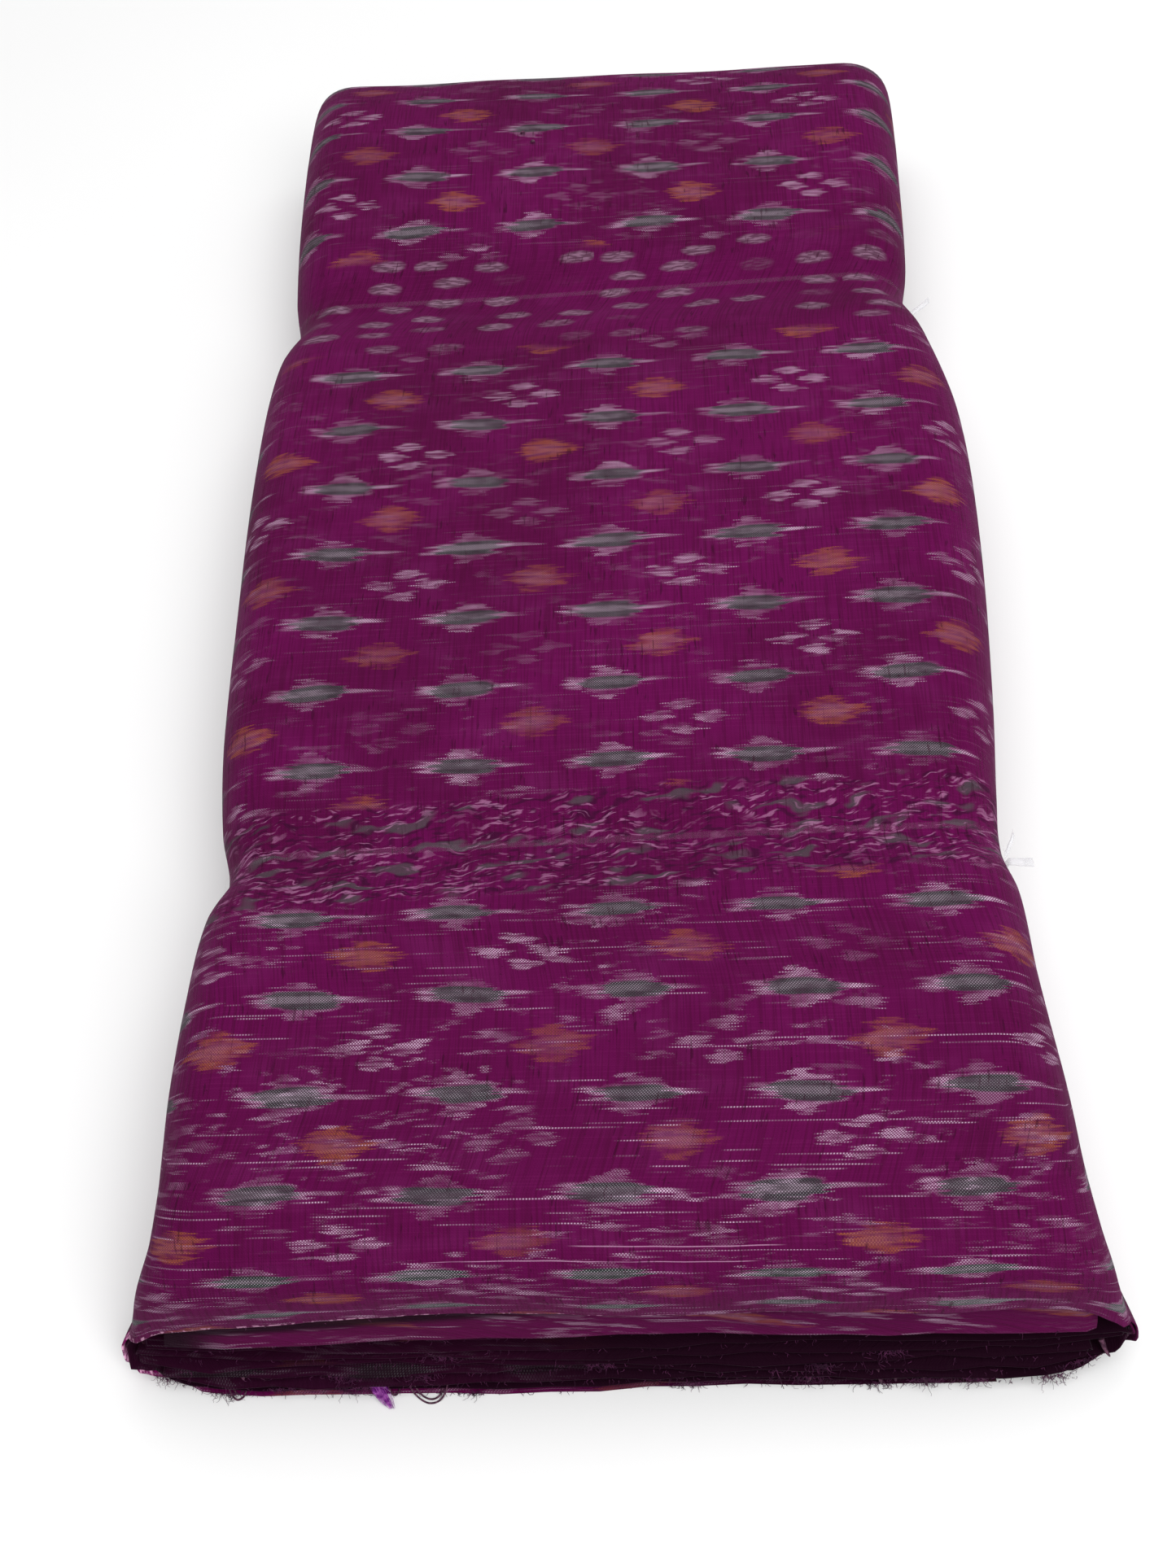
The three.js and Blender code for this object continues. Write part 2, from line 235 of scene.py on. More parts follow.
# Loops of yarn that hang out of the lowest laps on to the floor
YARN_LOOPS = (
    (
        (-67.4, -301.0, 6.0), (-68.3, -305.4, 3.6), (-66.4, -308.8, 0.8), (-62.1, -311.4, 0.4),
        (-58.0, -310.2, 0.6), (-55.6, -305.6, 3.4), (-56.2, -301.5, 5.0),
    ),
    (
        (-66.2, -301.0, 5.2), (-67.0, -304.8, 3.4), (-65.0, -308.4, 1.2), (-61.6, -310.2, 0.4),
        (-58.6, -309.0, 0.5), (-56.8, -304.6, 2.6), (-57.0, -301.5, 4.0),
    ),
    (
        (-127.0, -301.5, 3.0), (-127.4, -305.4, 2.2), (-126.4, -307.8, 0.5), (-124.6, -308.8, 0.4),
        (-122.6, -307.4, 0.5), (-121.8, -304.0, 2.0), (-122.2, -301.5, 2.6),
    ),
    (
        (-126.2, -301.5, 2.4), (-126.4, -305.0, 1.4), (-125.2, -306.8, 0.4), (-123.8, -306.6, 0.4),
        (-122.9, -303.0, 1.6),
    ),
    (
        (-76.0, -302.0, 4.4), (-74.6, -307.6, 1.6), (-72.8, -308.6, 0.5), (-71.4, -306.0, 1.4),
        (-71.6, -302.5, 3.0),
    ),
)

# Short ends of yarn that hang from the lower laps: root, middle and tip
YARN_ENDS = (
    ((80.8, -305.6, 6.5), (81.6, -308.6, 4.2), (82.2, -309.4, 0.8)),
    ((86.2, -305.4, 6.0), (86.4, -307.9, 3.6), (86.6, -308.6, 1.2)),
    ((94.6, -305.4, 6.4), (95.6, -308.8, 4.0), (96.3, -310.2, 0.9)),
    ((111.9, -305.2, 6.0), (113.0, -308.2, 3.6), (114.4, -309.0, 1.0)),
    ((132.0, -305.0, 6.0), (133.0, -307.6, 3.6), (134.0, -309.0, 1.0)),
    ((149.6, -300.6, 13.5), (151.0, -303.4, 10.6), (152.6, -304.4, 7.4)),
    ((-122.2, -302.4, 7.0), (-121.6, -304.8, 5.0), (-121.0, -305.8, 3.0)),
    ((60.0, -305.6, 5.4), (59.6, -307.6, 3.2), (58.8, -308.2, 1.0)),
)

# One hanging fibre, and the root, middle and tip of the bright tuft
HANGING_FIBRE = ((48.9, -306.0, 11.0), (50.1, -308.3, 7.0), (51.3, -310.4, 2.5))
TUFT = ((-81.2, -301.0, 6.5), (-79.2, -307.0, 2.6), (-73.7, -313.0, 0.5))

# Knots in the weave at the far end
KNOTS = (
    ((-33.2, 243.4, 70.4), (-32.0, 243.9, 71.3), (-30.9, 243.6, 70.6)),
    ((-28.3, 236.2, 70.4), (-27.3, 236.6, 71.2), (-26.3, 236.1, 70.6)),
)

# Pale fibres beside the tuft
PALE_FIBRES = (
    ((-81.0, -301.0, 7.5), (-79.6, -304.2, 5.4), (-77.0, -306.4, 3.4), (-74.6, -307.8, 1.8)),
    ((-80.6, -301.0, 7.2), (-78.8, -303.2, 6.6), (-74.3, -305.2, 5.4), (-70.2, -305.8, 4.8)),
    ((-80.2, -301.4, 6.4), (-78.4, -305.0, 4.2), (-76.8, -308.0, 2.2), (-76.0, -310.0, 1.0)),
)

# Finishes of the loose fibres: dark and pale colour, patches to the metre, roughness
FIBRES = {
    "loose_fibre": ((0.030, 0.002, 0.022), (0.12, 0.022, 0.085), 420.0, 0.6),
    "loose_yarn": ((0.045, 0.010, 0.030), (0.15, 0.055, 0.10), 900.0, 0.6),
    "tuft_fibre": ((0.20, 0.004, 0.26), (0.58, 0.16, 0.62), 700.0, 0.5),
    "pale_fibre": ((0.6, 0.5, 0.6), (0.85, 0.8, 0.85), 500.0, 0.5),
}

# Rows of the sheet along the bundle: those of a hidden ply, the step between those of the ply that
# shows, and the closer step of those within reach of a tie
HIDDEN_ROWS = (300, 285, 262, 160, 147, 134, 0, -123, -136, -149)
ROW_STEP = 6.0
PINCH_REACH = 30
PINCH_STEP = 2

# At the ties: width of the puckered strip, both ends of the crease beside the front tie, the flat stops
# of a tie's loop, and the x in metres over which its free ends start to show
PINCH_WIDTH = 16
CREASE = ((126.4, -100.6), (115.3, -123.6))
TIE_STOPS = (-100, -36, 36, 100)
FREE_ENDS_X = (0.1385, 0.1405)

# The camera: focal length and height of the picture in its own dots, place in metres, turns in degrees
FOCAL_DOTS = 2035.0
PICTURE_DOTS = 1927.0
SENSOR = 36.0
CAMERA_PLACE = (0.034045, -0.437757, 0.5473)
CAMERA_TURNS = (56.39, 8.66, -7.58, -0.7224)


def table(rows, column, at):
    """A column of a table, read at many places on a curve through its rows."""
    data = np.array(rows, float)
    x, y = data[:, 0], data[:, column]
    at = np.clip(at, x[0], x[-1])
    i = np.clip(np.searchsorted(x, at, side="right") - 1, 0, len(x) - 2)
    before, after = np.maximum(i - 1, 0), np.minimum(i + 2, len(x) - 1)
    span = x[i + 1] - x[i]
    u = (at - x[i]) / span
    slope_a = (y[i + 1] - y[before]) / (x[i + 1] - x[before]) * span
    slope_b = (y[after] - y[i]) / (x[after] - x[i]) * span
    return (
        (2 * u**3 - 3 * u**2 + 1) * y[i]
        + (u**3 - 2 * u**2 + u) * slope_a
        + (3 * u**2 - 2 * u**3) * y[i + 1]
        + (u**3 - u**2) * slope_b
    )


def straight(rows, column, at):
    """A column of a table, read at many places on straight lines between its rows."""
    data = np.array(rows, float)
    return np.interp(at, data[:, 0], data[:, column])


def cubic(p0, p1, p2, p3, u):
    """A point on the curve that four others steer."""
    r = 1 - u
    return r**3 * p0 + 3 * r * r * u * p1 + 3 * r * u * u * p2 + u**3 * p3


def smoothstep(x, low, high):
    """0 below low, 1 above high, and smooth between."""
    t = np.clip((x - low) / (high - low), 0, 1)
    return t * t * (3 - 2 * t)


def lap_height(lap):
    """Height of a lap's middle in the section."""
    return LAP_THICKNESS / 2 + lap * LAP_PITCH


def level_of(h):
    """0 in the lowest lap, 1 in the top one."""
    return np.clip((h - LAP_THICKNESS / 2) / (HEIGHT - LAP_THICKNESS), 0, 1)


def groove_at(y):
    """How far the ties lift the underside off the floor."""
    return TIE_GROOVE * sum(np.exp(-(((y - tie) / TIE_GROOVE_REACH) ** 2)) for tie in TIES_Y)


def place_middle(x, h, v):
    """Where the middle of the folded solid lies: x and h in its section, v along the bundle."""
    level = level_of(h)
    side = x / HALF_WIDTH
    u = (v + HALF_LENGTH) / (FRONT_BEND_FROM + HALF_LENGTH)
    top_share = np.maximum((level - TOP_LAPS_FROM) / (1 - TOP_LAPS_FROM), 0)
    sag = top_share * (7 * smoothstep(-side, 0.2, 0.95) + 8 * smoothstep(side, 0.72, 0.98))
    wave = 0.8 * np.sin(4.3 * side + 9 * level) + 0.4 * np.sin(11 * side - 14 * level)
    corner = 6 * (1 - level) * smoothstep(np.abs(side), 0.8, 1)
    edge, edge_z, bend, drop, drop_z = (straight(FRONT_EDGES, c, level) for c in (1, 2, 3, 4, 5))
    front_y = cubic(edge + wave + corner, drop, bend, FRONT_BEND_FROM, u)
    front_z = cubic(edge_z - sag, drop_z - sag / 2, h, h, u)
    u = (HALF_LENGTH - v) / (HALF_LENGTH - BACK_BEND_FROM)
    far = table(BACK_EDGES, 1, level) + 0.8 * np.sin(6 * side + 8 * level)
    far_z = table(BACK_EDGES, 2, level)
    back_y = cubic(far, far - 6, BACK_BEND_FROM + 0.6 * (far - BACK_BEND_FROM), BACK_BEND_FROM, u)
    back_z = cubic(far_z, h + 0.4 * (far_z - h), h, h, u)
    y = np.where(v < FRONT_BEND_FROM, front_y, np.where(v > BACK_BEND_FROM, back_y, v))
    z = np.where(v < FRONT_BEND_FROM, front_z, np.where(v > BACK_BEND_FROM, back_z, h))
    half = np.where(x < 0, table(STATIONS, 1, y), table(STATIONS, 2, y))
    height = table(STATIONS, 3, y)
    groove = groove_at(y)
    swell = 0.9 * level * np.sin(2.6 * side + y / 62) * np.cos(y / 41 - side)
    slant = np.where(y > 0, 1.5 - 8 * side, -2 * side) * (y / HALF_LENGTH) ** 2
    return np.stack([side * half, y + slant, groove + z * (height - groove) / HEIGHT + swell], -1)


def thickness_share(h, v):
    """How much of its thickness a lap keeps: the ties and both ends thin it."""
    level = level_of(h)
    squeezed = table(STATIONS, 3, v) / HEIGHT
    u = (v + HALF_LENGTH) / (FRONT_BEND_FROM + HALF_LENGTH)
    front = straight(FRONT_EDGES, 6, level)
    front = front + (squeezed - front) * smoothstep(u, 0.45, 1)
    u = np.maximum((HALF_LENGTH - v) / (HALF_LENGTH - BACK_BEND_FROM), 0)
    back = squeezed * (0.35 + 0.6 * np.sqrt(np.minimum(u * 4, 1)))
    return np.where(v < FRONT_BEND_FROM, front, np.where(v > BACK_BEND_FROM, back, squeezed))


def pitch_share(x, h, v):
    """How far the laps are squeezed together, so that a small fold stays round."""
    above = place_middle(x, h + LAP_PITCH / 4, v)[..., 2]
    below = place_middle(x, h - LAP_PITCH / 4, v)[..., 2]
    return np.minimum((above - below) / (LAP_PITCH / 2), 1)


def unit(a):
    """Vectors brought to length 1."""
    return a / np.maximum(np.linalg.norm(a, axis=-1, keepdims=True), 1e-9)


def sheet_directions(x, h, dx, dh, v):
    """Unit vectors along the bundle and square to the sheet; the second points into the outer turns."""
    step = 0.05
    along = place_middle(x + dx * step, h + dh * step, v) - place_middle(x - dx * step, h - dh * step, v)
    far, near = np.minimum(v + step, HALF_LENGTH), np.maximum(v - step, -HALF_LENGTH)
    lengthwise = place_middle(x, h, far) - place_middle(x, h, near)
    return unit(lengthwise), unit(np.cross(lengthwise, along))


class FoldedPath:
    """Stops along the folded section: place, direction, root of a small fold, lap, fill at the front."""

    def __init__(self):
        self.stops = []

    def stop(self, x, h, dx, dh, root=None, lap=0.0, fill=0.0):
        size = math.hypot(dx, dh)
        self.stops.append((x, h, dx / size, dh / size, x if root is None else root, lap, fill))

    def flat(self, lap, from_x, to_x, pieces, ends=False):
        first, last = (0, pieces) if ends else (1, pieces - 1)
        for i in range(first, last + 1):
            self.stop(from_x + (to_x - from_x) * i / pieces, lap_height(lap), to_x - from_x, 0, lap=lap)

    def turn(self, from_lap, to_lap, sign, pieces):
        middle = (lap_height(from_lap) + lap_height(to_lap)) / 2
        rise = (lap_height(to_lap) - lap_height(from_lap)) / 2

        def at(angle):
            c, s = max(math.cos(angle), 0), math.sin(angle)
            flatten = 2 / TURN_POWER
            x = sign * (LAP_END + TURN_REACH * c**flatten)
            return x, middle + rise * math.copysign(abs(s) ** flatten, s)

        for i in range(pieces + 1):
            angle = math.pi * (i / pieces - 0.5)
            here = at(angle)
            after, before = at(min(angle + 0.02, math.pi / 2)), at(max(angle - 0.02, -math.pi / 2))
            lap = from_lap + (to_lap - from_lap) * (i / pieces)
            self.stop(here[0], here[1], after[0] - before[0], after[1] - before[1], lap=lap)

    def fold(self, lap, sign, end_x, fill, pieces):
        middle = (lap_height(lap) + lap_height(lap + 1)) / 2
        for i in range(pieces + 1):
            angle = math.pi * (i / pieces - 0.5)
            c, s = math.cos(angle), math.sin(angle)
            self.stop(
                sign * (end_x + FOLD_REACH * c),
                middle + LAP_PITCH / 2 * s,
                -sign * FOLD_REACH * s,
                LAP_PITCH / 2 * c,
                root=sign * end_x,
                lap=lap + i / pieces,
                fill=sign * fill,
            )

    def columns(self):
        return np.array(self.stops).T


def outer_path(fine):
    path = FoldedPath()
    path.flat(0, TUCKED_END, -LAP_END, 16, ends=True)
    path.stops.pop()
    path.turn(0, LAPS - 1, -1, round(26 * fine))
    path.flat(LAPS - 1, -LAP_END, LAP_END, round(92 * fine))
    path.turn(LAPS - 1, 1, 1, round(26 * fine))
    return path.columns()


def inner_path():
    path = FoldedPath()
    from_x = LAP_END
    for lap, sign, end_x, fill in SMALL_FOLDS:
        path.flat(lap, from_x, sign * end_x, 20)
        path.fold(lap, sign, end_x, fill, 4)
        from_x = sign * end_x
    path.flat(LAPS - 2, from_x, -INNER_END, 20)
    path.stop(-INNER_END, lap_height(LAPS - 2), -1, 0, lap=LAPS - 2, fill=-INNER_FILL)
    return path.columns()


def rows_of_plies(front_rows, outer_places, inner_places, turn_rows):
    """Rows between the selvedges: place along the bundle, side of the lap, reach round the far fold."""
    front = np.linspace(0, 1, front_rows + 1) ** 1.35
    front = -HALF_LENGTH + (FRONT_BEND_FROM + HALF_LENGTH) * front
    rows = [(v, -1.0, 0.0) for v in (*front, *outer_places)]
    for i in range(turn_rows + 1):
        angle = math.pi * (i / turn_rows - 0.5)
        rows.append((HALF_LENGTH, math.sin(angle), math.cos(angle)))
    rows += [(v, 1.0, 0.0) for v in (*inner_places, *front[::-1])]
    return np.array(rows).T


def dent_at(x, y, start, end):
    """Depth of a short crease that runs from one point to another."""
    along = np.array(end) - np.array(start)
    size = np.linalg.norm(along)
    u = ((x - start[0]) * along[0] + (y - start[1]) * along[1]) / size
    d = ((x - start[0]) * along[1] - (y - start[1]) * along[0]) / size
    share = smoothstep(u, -6, 5) * (1 - smoothstep(u, size - 5, size + 6))
    return share * (1.3 * np.exp(-((d / 1.7) ** 2)) - 0.5 * np.exp(-(((d - 3.6) / 1.8) ** 2)))


def sheet_points(path, rows, sheet):
    """Every point of the sheet on its path and rows, in millimetres."""
    x, h, dx, dh, root, lap, fill = (c[:, None] for c in path)
    v, side, reach = (r[None, :] for r in rows)
    zero = 0 * (x + v)
    draw = np.where(x == root, 1.0, pitch_share(root + zero, h + zero, v + zero))
    x = root + (x - root) * draw + fill * smoothstep(-v, FILL_FROM, HALF_LENGTH)
    hh, vv = h + zero, v + zero
    back = np.where(side > 0, straight(SELVEDGES, 2, lap), straight(SELVEDGES, 1, lap))
    ragged = back + 0.5 * np.sin(x / 5.1 + 3 * lap) + 0.35 * np.sin(x / 2.3 - 5 * lap + 2 * side)
    near = np.clip((FRONT_BEND_FROM - vv) / (HALF_LENGTH + FRONT_BEND_FROM), 0, 1)
    vv = np.clip(vv + ragged * near**3, -HALF_LENGTH, HALF_LENGTH)
    place = place_middle(x, hh, vv)
    lengthwise, normal = sheet_directions(x, hh, dx * draw, dh, vv)
    offset = LAP_THICKNESS / 2 * thickness_share(hh, vv) - sheet / 2
    place = place + normal * (side * offset)[..., None] + lengthwise * (reach * offset)[..., None]
    top = smoothstep(level_of(hh), 0.55, 0.95) * np.where(side < 0, 1.0, 0.0)
    pinch = sum(np.exp(-(((vv - tie) / PINCH_WIDTH) ** 2)) for tie in TIES_Y)
    pucker = 0.5 * np.sin(x / 1.9 + 0.9 * np.sin(vv / 9))
    pucker = pucker + 0.6 * np.sin(x / 3.7 - vv / 21 + 1.3 * np.sin(vv / 14))
    gather = 0.8 * np.sin(x / 7.3 + 0.8 * np.sin(vv / 12 + x / 31))
    soft = 0.22 * np.sin(x / 11.5 + 2.1 * np.sin(vv / 47)) + 0.28 * np.sin(vv / 17 + 1.7 * np.sin(x / 39))
    soft = soft + 0.35 * np.sin(x / 23 - vv / 37) * near
    dent = dent_at(place[..., 0], place[..., 1], *CREASE)
    lift = top * (pinch * 0.55 * (pucker + gather - 1.2) + 0.8 * soft - 0.35 - dent)
    place = place - normal * lift[..., None]
    place[..., 2] = np.where(place[..., 2] < 0.4 + sheet / 2, sheet / 2, place[..., 2])
    return place - MIDDLE


def lengths_along(points, axis):
    """Length of cloth from the first row or column to each point."""
    steps = np.linalg.norm(np.diff(points, axis=axis), axis=-1)
    pad = [(0, 0), (0, 0)]
    pad[axis] = (1, 0)
    return np.pad(np.cumsum(steps, axis=axis), pad)


def pattern_points(points, path, rows, start):
    """Where each point of the sheet lies in the woven pattern, in millimetres of flat cloth."""
    x, v = path[0], rows[0]
    off_top = np.abs(path[1] - lap_height(LAPS - 1))
    along = lengths_along(points, 0) + start
    zero = int(np.argmin(np.abs(x) + 1000 * (off_top > 1)))
    if off_top[zero] < 1:
        along = points[zero][None, :, 0] + along - along[zero][None, :]
    across = lengths_along(points, 1)[points.shape[0] // 2]
    turn = int(np.argmax(v >= HALF_LENGTH))
    row = straight(PATTERN_ROWS, 1, v)
    row = np.where(np.arange(len(v)) <= turn, row, row[turn] + (across - across[turn]) / PATTERN_PITCH[1])
    shift = FAR_SHIFT * smoothstep(v, 112, 176) + straight(PATTERN_ROWS, 2, v)
    tilt, row_y = math.sin(PATTERN_TURN), row * PATTERN_PITCH[1]
    pattern_x = along - (PATTERN_LEFT - MIDDLE[0]) - shift - tilt * row_y
    return np.stack([pattern_x, row_y + tilt * pattern_x], -1)


class Nodes:
    """One node tree, and the one way that nodes are added to it."""

    def __init__(self, tree):
        self.tree = tree

    def add(self, kind, sockets=None, out=0, **settings):
        node = self.tree.nodes.new(kind)
        stops = settings.pop("stops", None)
        for key, value in settings.items():
            setattr(node, key, value)
        if stops:
            ramp = node.color_ramp.elements
            while len(ramp) < len(stops):
                ramp.new(0.5)
            for element, (position, colour) in zip(ramp, stops):
                element.position = position
                element.color = (*colour, 1.0) if len(colour) == 3 else colour
        for key, value in (sockets or {}).items():
            if isinstance(value, Wire):
                self.tree.links.new(value.socket, node.inputs[key])
            else:
                node.inputs[key].default_value = value
        return Wire(self, node.outputs[out]) if len(node.outputs) else node


class Wire:
    """A socket that can be calculated with."""

    def __init__(self, nodes, socket):
        self.nodes = nodes
        self.socket = socket

    def maths(self, operation, *others, clamp=False):
        sockets = {0: self}
        sockets.update({i + 1: other for i, other in enumerate(others)})
        return self.nodes.add("ShaderNodeMath", sockets, operation=operation, use_clamp=clamp)

    def __add__(self, other):
        return self.maths("ADD", other)

    __radd__ = __add__

    def __sub__(self, other):
        return self.maths("SUBTRACT", other)

    def __rsub__(self, other):
        return self.nodes.add("ShaderNodeMath", {0: other, 1: self}, operation="SUBTRACT")

    def __mul__(self, other):
        return self.maths("MULTIPLY", other)

    __rmul__ = __mul__

    def __truediv__(self, other):
        return self.maths("DIVIDE", other)

    def __rtruediv__(self, other):
        return self.nodes.add("ShaderNodeMath", {0: other, 1: self}, operation="DIVIDE")

    def abs(self):
        return self.maths("ABSOLUTE")

    def floor(self):
        return self.maths("FLOOR")

    def sine(self):
        return self.maths("SINE")

    def most(self, other):
        return self.maths("MAXIMUM", other)

    def clamp(self):
        return self.maths("ADD", 0.0, clamp=True)

    def wrap(self, period):
        """Distance to the nearest multiple of the period, with its sign."""
        turns = self / period + 0.5
        return (turns - turns.floor() - 0.5) * period

    def rise(self, low, high):
        """0 below low, 1 above high, and smooth between."""
        sockets = {"Value": self, "From Min": low, "From Max": high, "To Min": 0.0, "To Max": 1.0}
        return self.nodes.add("ShaderNodeMapRange", sockets, interpolation_type="SMOOTHSTEP")


def new_material(name):
    material = bpy.data.materials.new(name)
    material.use_nodes = True
    material.node_tree.nodes.clear()
    return material, Nodes(material.node_tree)


def mix(nodes, factor, a, b, blend="MIX"):
    """One colour over another; a plain colour is its red, green and blue."""
    a, b = (colour if isinstance(colour, Wire) else (*colour, 1.0) for colour in (a, b))
    sockets = {"Factor": factor, 6: a, 7: b}
    return nodes.add("ShaderNodeMix", sockets, out=2, data_type="RGBA", blend_type=blend, clamp_factor=True)


def finished(material, nodes, sockets):
    """The material, with one Principled surface made of these sockets."""
    shader = nodes.add("ShaderNodeBsdfPrincipled", sockets)
    nodes.add("ShaderNodeOutputMaterial", {"Surface": shader})
    return material


def random_of(nodes, value, seed):
    return nodes.add("ShaderNodeTexWhiteNoise", {"W": value + seed}, noise_dimensions="1D")


def three_places(nodes, vector):
    """The x, y and z of a place in metres, each in millimetres."""
    parts = nodes.add("ShaderNodeSeparateXYZ", {"Vector": vector}).socket.node
    return [Wire(nodes, parts.outputs[axis]) * 1000.0 for axis in "XYZ"]


def noise_of(nodes, x, y, x_size, y_size, seed, detail=2.0, rough=0.5):
    """Noise from 0 to 1 whose patches have the given sizes along x and y."""
    place = nodes.add("ShaderNodeCombineXYZ", {"X": x / x_size, "Y": y / y_size, "Z": seed})
    sockets = {"Vector": place, "Scale": 1.0, "Detail": detail, "Roughness": rough}
    return nodes.add("ShaderNodeTexNoise", sockets, noise_dimensions="3D")


def inside(size, distance, soft=0.35):
    """1 where a distance is under a size, 0 outside."""
    return (size - distance).rise(-soft, soft)


def slipped_yarn(x, y, at, wave, depth, thick, middle, reach):
    """One pale warp yarn that has slipped out of its row."""
    off = (y - at + (x / wave).sine() * depth).abs()
    return inside(thick, off, 0.12) * inside(reach, (x - middle).abs(), 3.0)


def cloth_material(look):
    """Plain weave of slubby yarn, its warp resist-dyed in leaves, stars and small crosses."""
    material, n = new_material("ikat_cloth")
    x, y, _ = three_places(n, n.add("ShaderNodeUVMap", uv_map="pattern"))
    place_x, place_y, place_z = three_places(n, n.add("ShaderNodeTexCoord", out=3))
    to_front, to_left = 0.0 - place_y, 0.0 - place_x

    # Yarns: warp runs along x, weft along y
    pitch = look.yarn_pitch * 1000.0
    warp = (y / pitch).floor()
    hank = (y / 1.3 + noise_of(n, x, y, 60.0, 9.0, 1.3, 1.0) * 1.2).floor()
    xs = x + (random_of(n, warp, 0.37) - 0.5) * 4.6 + (random_of(n, hank, 7.1) - 0.5) * 4.4
    ys = y + (noise_of(n, x, y, 30.0, 45.0, 9.2, 1.0) - 0.5) * 3.6
    row = ((ys / 1.25).floor() + 0.5) * 1.25
    wide, tall = PATTERN_PITCH
    slope_leaf = to_front.rise(268.0, 296.0)
    across = (x / pitch * math.pi).sine()
    woven = across * (y / pitch * math.pi).sine()
    woven = woven * (1.0 - slope_leaf) + across * (y / pitch * math.pi / 1.9).sine() * slope_leaf
    over, dots = woven.rise(-0.15, 0.45), woven.rise(0.3, 0.62)
    patchy = noise_of(n, x, y, 9.0, 3.5, 7.7, 2.0, 0.6).rise(0.34, 0.6)
    show = over * (0.22 + patchy * 0.78)
    worn = noise_of(n, xs, y, 15.0, 0.9, 3.3, 2.0)

    # Leaves, in straight columns, each a little different
    cell = ((x - LEAF_COLUMN) / wide + 0.5).floor() * 17.3 + (y / tall + 0.5).floor() * 5.7
    own, other = random_of(n, cell, 0.13), random_of(n, cell, 3.71)
    leaf_x = (xs - LEAF_COLUMN).wrap(wide) + 5.0 + own * 2.4
    leaf_y = ys.wrap(tall) + (other - 0.5) * 1.2
    leaf_row = (row.wrap(tall) + (other - 0.5) * 1.2).abs()
    reach = leaf_x * leaf_x / (132.0 + other * 34.0)
    half = (2.7 + own * 0.9) - reach * reach * 2.9
    leaf = inside(half, leaf_y.abs(), 0.4)
    rim = (inside(half + 0.75, leaf_y.abs(), 0.4) - leaf).clamp()
    dabs = inside(15.5 - (leaf_x + 1.0).abs() * 1.35, leaf_row * 1.75, 0.5) * inside(7.3, leaf_row, 0.2)
    dabs = (dabs - leaf).clamp() * leaf_row.rise(2.4, 3.6) * (0.25 + random_of(n, cell, 8.2) * 0.5)
    fringe = inside(2.5, leaf_y.abs(), 0.6) * (0.0 - leaf_x).rise(9.5, 11.5) * (leaf_x + 18.0).rise(0.0, 4.0)
    streak_y = (leaf_y - 0.3).abs()
    tail = inside(1.25 - leaf_x * 0.028, streak_y, 0.35) * leaf_x.rise(9.0, 12.0)
    tail = tail * (1.0 - leaf_x.rise(13.0 + own * 9.0, 21.0 + own * 9.0)) * (0.45 + other * 0.5)
    heart = inside(1.3, streak_y, 0.5) * (leaf_x + 15.0).rise(0.0, 6.0)
    heart = heart * (1.0 - leaf_x.rise(1.0 + other * 9.0, 10.0)) * (0.3 + own * 0.6)

    # Stars, and groups of four crosses, turn about in the rows between the leaves
    line = (ys / tall).floor()
    odd = (line / 2.0 - (line / 2.0).floor()) * 2.0
    centre = STAR_COLUMN + odd * STAR_STEP
    spot = ((x - centre) / wide + 0.5).floor() * 11.9 + line * 3.1
    faint, drift = random_of(n, spot, 1.9), random_of(n, spot, 5.3)
    star_x = (xs - centre + (drift - 0.5) * 4.0).wrap(2 * wide)
    star_y = (ys - tall / 2).wrap(tall)
    star_row = (row - tall / 2).wrap(tall).abs()
    star = inside(12.6 - star_row * 1.55, star_x.abs(), 1.0) * inside(6.4, star_row, 0.2)
    mottle = noise_of(n, xs, y, 10.0, 1.6, 6.1, 2.0, 0.6).rise(0.34, 0.6)
    star = star * (0.3 + faint * 0.3) * (0.2 + mottle * 0.9)
    star_heart = inside(6.2, (star_x + 1.0).abs(), 2.6) * inside(2.8, star_y.abs(), 1.2)
    star_heart = star_heart * (0.35 + drift * 0.5)
    cross_x = (xs - centre - wide + (drift - 0.5) * 4.0).wrap(2 * wide)
    side_x, tall_y = (cross_x.abs() - 9.4).abs(), (star_y.abs() - 5.3).abs()
    crosses = inside(6.0 - star_y.abs() * 1.7, side_x, 0.9) * inside(2.7, star_y.abs(), 0.4)
    crosses = crosses.most(inside(6.0 - tall_y * 1.9, cross_x.abs(), 0.9) * inside(2.3, tall_y, 0.4))
    crosses = crosses * (0.12 + faint.rise(0.05, 0.7) * 0.55)
    scatter = noise_of(n, xs, row, 13.0, 4.2, 3.9, 2.0, 0.6).rise(0.56, 0.68)
    scatter = scatter * noise_of(n, x, y, 55.0, 40.0, 1.5, 1.0).rise(0.42, 0.6)
    scatter = scatter * (0.12 + to_front.rise(60.0, 220.0) * 0.4)

    # Where the ties pinch the cloth, the pattern breaks up
    bent = noise_of(n, place_x, place_y, 40.0, 14.0, 2.2, 1.0) - 0.5
    front_y = place_y + 141.4 - place_x * 0.0244
    front_band = inside(19.6 - place_x * 0.011, (front_y + bent * 5.0).abs(), 1.5)
    back_y = place_y - 137.0
    back_band = inside(32.5, (back_y + bent * 11.0).abs(), 3.0)
    topside = place_z.rise(30.0, 42.0)
    front_band, back_band = front_band * topside, back_band * topside
    plain = 1.0 - front_band.most(back_band)

